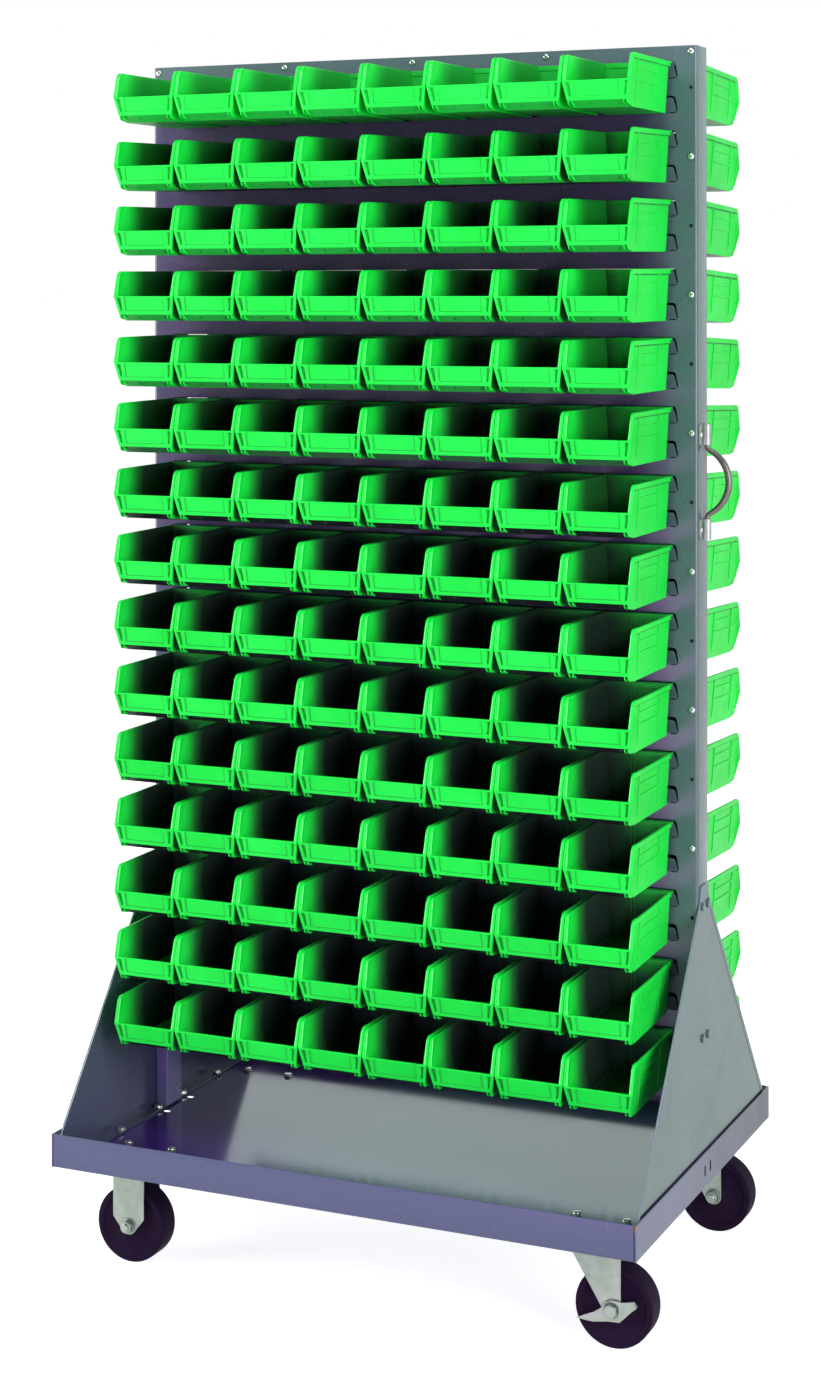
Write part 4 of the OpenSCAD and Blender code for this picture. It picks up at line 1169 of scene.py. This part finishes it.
def axle_piece(cx, cy, s, name, body, over, nut_out):
    """The axle bolt; nut_out sets its nut on the outer side of the caster."""
    b = Build()
    out = -s if nut_out else s
    head = LEG_OUT + over + 0.2
    b.lathe([(5.6, -head), (6.0, -head + 0.4), (6.0, 37.0), (5.2, 37.6)], (cx, cy, WHEEL_R), (0, -out, 0), 32)
    hex_head(b, (cx, cy + out * head, WHEEL_R), (0, out, 0), 18.0, 7.0, 0.35)
    nut = (cx, cy - out * (LEG_OUT + 0.2), WHEEL_R)
    hex_head(b, nut, (0, -out, 0), 18.0, 8.8, 0.2, 10.4)
    piece(f"{name}_axle_bolt", b, [ZINC], body, [f"{name}_axle"], 30)


def lever_edges(u):
    """Upper and lower edge of the brake lever at u, measured from the axle."""
    top = [(-49, -15.6), (-40, -11.6), (-25, -5.6), (-14, 2), (-8.5, 10.8), (0, 14), (8, 13.4), (15.7, 12.7),
           (24, 15.0), (29.6, 17), (33.5, 18.6), (36, 18.4), (37.6, 17.0), (38.5, 13.5)]
    low = [(-49, -16.6), (-46, -17.5), (-40, -18.8), (-26.8, -19.7), (-14, -17.8), (-7.4, -16.4), (0, -16.0),
           (12, -15.2), (20.4, -7.3), (29.6, 2.3), (34.5, 6.0), (37.0, 8.4), (38.1, 10.5), (38.5, 13.2)]

    def at(line):
        for (u0, v0), (u1, v1) in zip(line, line[1:]):
            if u <= u1:
                return v0 + (v1 - v0) * (u - u0) / (u1 - u0)
        return line[-1][1]
    return at(top), at(low)


def brake_piece(cx, cy, s, end):
    """A pressed two winged lever on the outer face of the fork, dished round the bolt's head."""
    b = Build()
    near = LEG_OUT + 0.3
    us = [-49, -47.5, -45, -42, -38, -34, -30, -26, -22, -18, -14.5, -12, -9, -6, -3, 0, 3, 6, 9, 12, 14.5, 17,
          20, 23, 26, 29, 31.5, 34, 36, 37.4, 38.2, 38.5]
    rows = 11
    face, rearface = [], []
    for u in us:
        top, low = lever_edges(u)
        line, under = [], []
        for k in range(rows):
            f = k / (rows - 1)
            v = low + (top - low) * f
            r = math.hypot(u, v)
            lift = 0.0
            if u < -20:
                lift += 7.0 * min(1.0, (-20 - u) / 29.0) ** 1.6 * (0.35 + 0.65 * f)
            if u > 15:
                lift += 6.5 * min(1.0, (u - 15) / 23.0) ** 1.3 * (0.2 + 0.8 * f ** 1.5)
            lift += 1.6 * max(0.0, 1.0 - abs(r - 12.4) / 2.2)
            if r > 13:
                lift += 1.2 * math.sin(math.pi * f) * min(1.0, (r - 13) / 8.0)
            lift = min(lift, 7.3)
            line.append((cx + u, cy + s * (near + 2.5 + lift), WHEEL_R + v))
            under.append((cx + u, cy + s * (near + max(0.0, lift - 0.1)), WHEEL_R + v))
        face.append(line)
        rearface.append(under)
    b.slab(face, rearface)
    node = f"{end}_right_brake"
    piece(f"{node}_lever", b, [ZINC], node, [node], 55)


def swivel_caster(s, end):
    kx, cy = CASTER_X, s * CASTER_Y
    cx = kx + LEAD
    b = Build()
    caster_plate(b, kx, cy)
    b.lathe([(7.0, 142.6), (28.5, 142.6), (29.6, 143.2), (30.0, 144.2), (30.0, 147.0), (31.5, 149.0),
             (33.0, 149.9), (7.0, 149.9)], (kx, cy, 0), (0, 0, 1), 48)
    piece(f"{end}_right_swivel_plate", b, [ZINC], "rack", [f"{end}_right_plate"], 35)
    b = Build()
    b.lathe([(8.8, 131.7), (9.8, 132.4), (10.0, 133.2), (10.0, 135.6), (6.0, 135.6), (6.0, 151.5),
             (5.4, 152.2)], (kx, cy, 0), (0, 0, 1))
    piece(f"{end}_right_king_bolt", b, [ZINC], "rack", [f"{end}_right_kingpin"], 35)
    # The fork: crown with the lower race, and two slanting legs with a pressed crease
    b = Build()
    top = CROWN_Z + 3.5
    crown = rounded(-24.0, -LEG_OUT + 0.6, LEAD + 12.0, LEG_OUT - 0.6, 3.0)
    plate(b, crown, [], lambda u, v, w: (kx + u, cy + v, CROWN_Z + w), 3.5, 0.6)
    b.lathe([(6.5, CROWN_Z + 0.2), (32.2, CROWN_Z + 0.2), (33.0, CROWN_Z + 1.0), (33.0, CROWN_Z + 2.6),
             (32.0, CROWN_Z + 3.5), (30.0, CROWN_Z + 3.6), (30.0, CROWN_Z + 5.4), (29.4, CROWN_Z + 6.0),
             (6.5, CROWN_Z + 6.0)], (kx, cy, 0), (0, 0, 1), 48)
    tip = arc(LEAD, WHEEL_R, 13.0, 214, 352, 12)
    outline = [(-24.0, top), (-24.0, CROWN_Z - 1.0), (-22.6, CROWN_Z - 4.2)] + tip
    outline += [(LEAD + 12.6, 66.0), (LEAD + 12.5, top)]
    strip = ((-8.6, 0.0), (-6.0, 0.25), (-3.4, 1.0), (10.8, 1.0), (12.1, 0.5))
    for f in (-1, 1):
        leg(b, outline, kx, cy, f, LEAD)
        # The flat strip along the leg's upright edge, raised by the press
        front, back = [], []
        for z, rise in ((82.0, 0.0), (86.0, 0.75), (92.0, 1.0), (128.0, 1.0), (137.0, 0.6), (top - 0.2, 0.0)):
            line, under = [], []
            for u, k in strip:
                lean = -0.02 * (z - 82.0) if u < 0 else 0.0
                x = cx + u + lean
                line.append((x, cy + f * (LEG_OUT - 0.05 + rise * k), z))
                under.append((x, cy + f * (LEG_OUT - 0.8), z))
            front.append(line)
            back.append(under)
        b.slab(front, back)
    body = f"{end}_right_swivel"
    piece(f"{body}_fork", b, [ZINC], body, [f"{end}_right_fork"], 35)
    axle_piece(cx, cy, s, f"{end}_right", body, 3.2, False)
    wheel_piece(cx, cy, f"{end}_right", f"{end}_right_wheel")
    brake_piece(cx, cy, s, end)


for sign, end_name in ((-1, "front"), (1, "rear")):
    rigid_caster(sign, end_name)
    swivel_caster(sign, end_name)


# Floor, light and camera

SENSOR, PHOTO_H = 36.0, 1400.0
COOL = (0.95, 1.0, 0.98)


def make_floor():
    """A pale floor that the camera and reflections see as white, and that keeps the rack's shadow."""
    bm = bmesh.new()
    bmesh.ops.create_grid(bm, x_segments=4, y_segments=4, size=60.0)
    mesh = bpy.data.meshes.new("floor")
    bm.to_mesh(mesh)
    bm.free()
    n = material("pale_floor")
    n.tree.nodes.remove(n.tree.nodes["Principled BSDF"])
    path = n.tree.nodes.new("ShaderNodeLightPath").outputs
    seen = n.math("ADD", path["Is Camera Ray"], path["Is Glossy Ray"], True)
    level = n.math("MULTIPLY", seen, n.span(n.length(n.coord), 1.2, 3.2, 0.8, 1.0))
    paper = n.new("ShaderNodeBsdfDiffuse", Color=(0.62, 0.62, 0.62))
    glow = n.new("ShaderNodeEmission", Strength=level)
    both = n.tree.nodes.new("ShaderNodeAddShader")
    n.put(both.inputs[0], paper.outputs[0])
    n.put(both.inputs[1], glow.outputs[0])
    n.put(n.tree.nodes["Material Output"].inputs["Surface"], both.outputs[0])
    mesh.materials.append(n.owner)
    floor = linked("floor", mesh)


def make_world():
    """White behind the rack, dim in front of it, and a faint violet fill on matt surfaces."""
    world = bpy.data.worlds.new("studio")
    bpy.context.scene.world = world
    world.use_nodes = True
    world.node_tree.nodes.clear()
    n = Nodes(world)

    def glow(colour, strength):
        return n.new("ShaderNodeBackground", Color=colour, Strength=strength).outputs[0]

    def choose(mask, first, second):
        node = n.tree.nodes.new("ShaderNodeMixShader")
        for socket, value in zip(node.inputs, (mask, first, second)):
            n.put(socket, value)
        return node.outputs[0]
    path = n.tree.nodes.new("ShaderNodeLightPath").outputs
    depth = n.new("ShaderNodeSeparateXYZ", Vector=n.coords["Generated"]).outputs["Y"]
    room = glow((0.9, 1.03, 1.0), n.span(depth, -0.15, 0.35, 0.22, 1.26))
    lit = choose(path["Is Glossy Ray"], glow((0.75, 0.35, 1.0), 0.08), room)
    seen = n.math("MAXIMUM", path["Is Camera Ray"], path["Is Transmission Ray"])
    out = n.tree.nodes.new("ShaderNodeOutputWorld")
    n.put(out.inputs["Surface"], choose(seen, lit, glow((1.0, 1.0, 1.0), 1.0)))


def softbox(name, place, aim, width, height, power, colour, mirrored=True):
    """An area lamp; mirrored says whether it shows in reflections."""
    light = bpy.data.lights.new(name, "AREA")
    light.shape = "RECTANGLE"
    light.size = width
    light.size_y = height
    light.energy = power
    light.color = colour
    obj = linked(name, light)
    obj.location = place
    obj.rotation_euler = (Vector(aim) - Vector(place)).to_track_quat("-Z", "Y").to_euler()
    obj.visible_camera = False
    obj.visible_glossy = mirrored


def make_camera():
    """The photograph's camera: level, with its framing set by the lens shift. PHOTO_H is in pixels."""
    cam = bpy.data.cameras.new("camera")
    cam.sensor_fit = "AUTO"
    cam.sensor_width = SENSOR
    cam.lens = 2482.1 / PHOTO_H * SENSOR
    cam.shift_x = -20.55 / PHOTO_H
    cam.shift_y = -414.12 / PHOTO_H
    cam.clip_end = 200.0
    obj = linked("camera", cam)
    obj.location = (1.5641 - MID * MM, -3.5147, 1.4718)
    obj.rotation_euler = (math.radians(90.096), math.radians(0.079), math.radians(23.695))
    bpy.context.scene.camera = obj


make_floor()
make_world()
softbox("softbox_right", (3.3, -2.0, 1.6), (0, 0, 1.1), 1.6, 2.8, 140, COOL)
softbox("softbox_left", (-3.3, -2.2, 1.6), (0, 0, 1.1), 1.6, 2.8, 136, COOL)
softbox("softbox_top", (0.3, -1.9, 3.5), (0, 0, 1.7), 2.4, 1.2, 50, (0.95, 1.0, 1.0))
softbox("fill_low", (0.4, -3.6, 0.35), (0, 0, 0.35), 3.0, 0.6, 26, (0.85, 0.25, 1.0))
softbox("softbox_rear", (-1.3, 3.6, 1.7), (0, 0, 1.1), 2.2, 2.4, 100, COOL, False)
make_camera()
bpy.context.scene.view_settings.view_transform = "Standard"
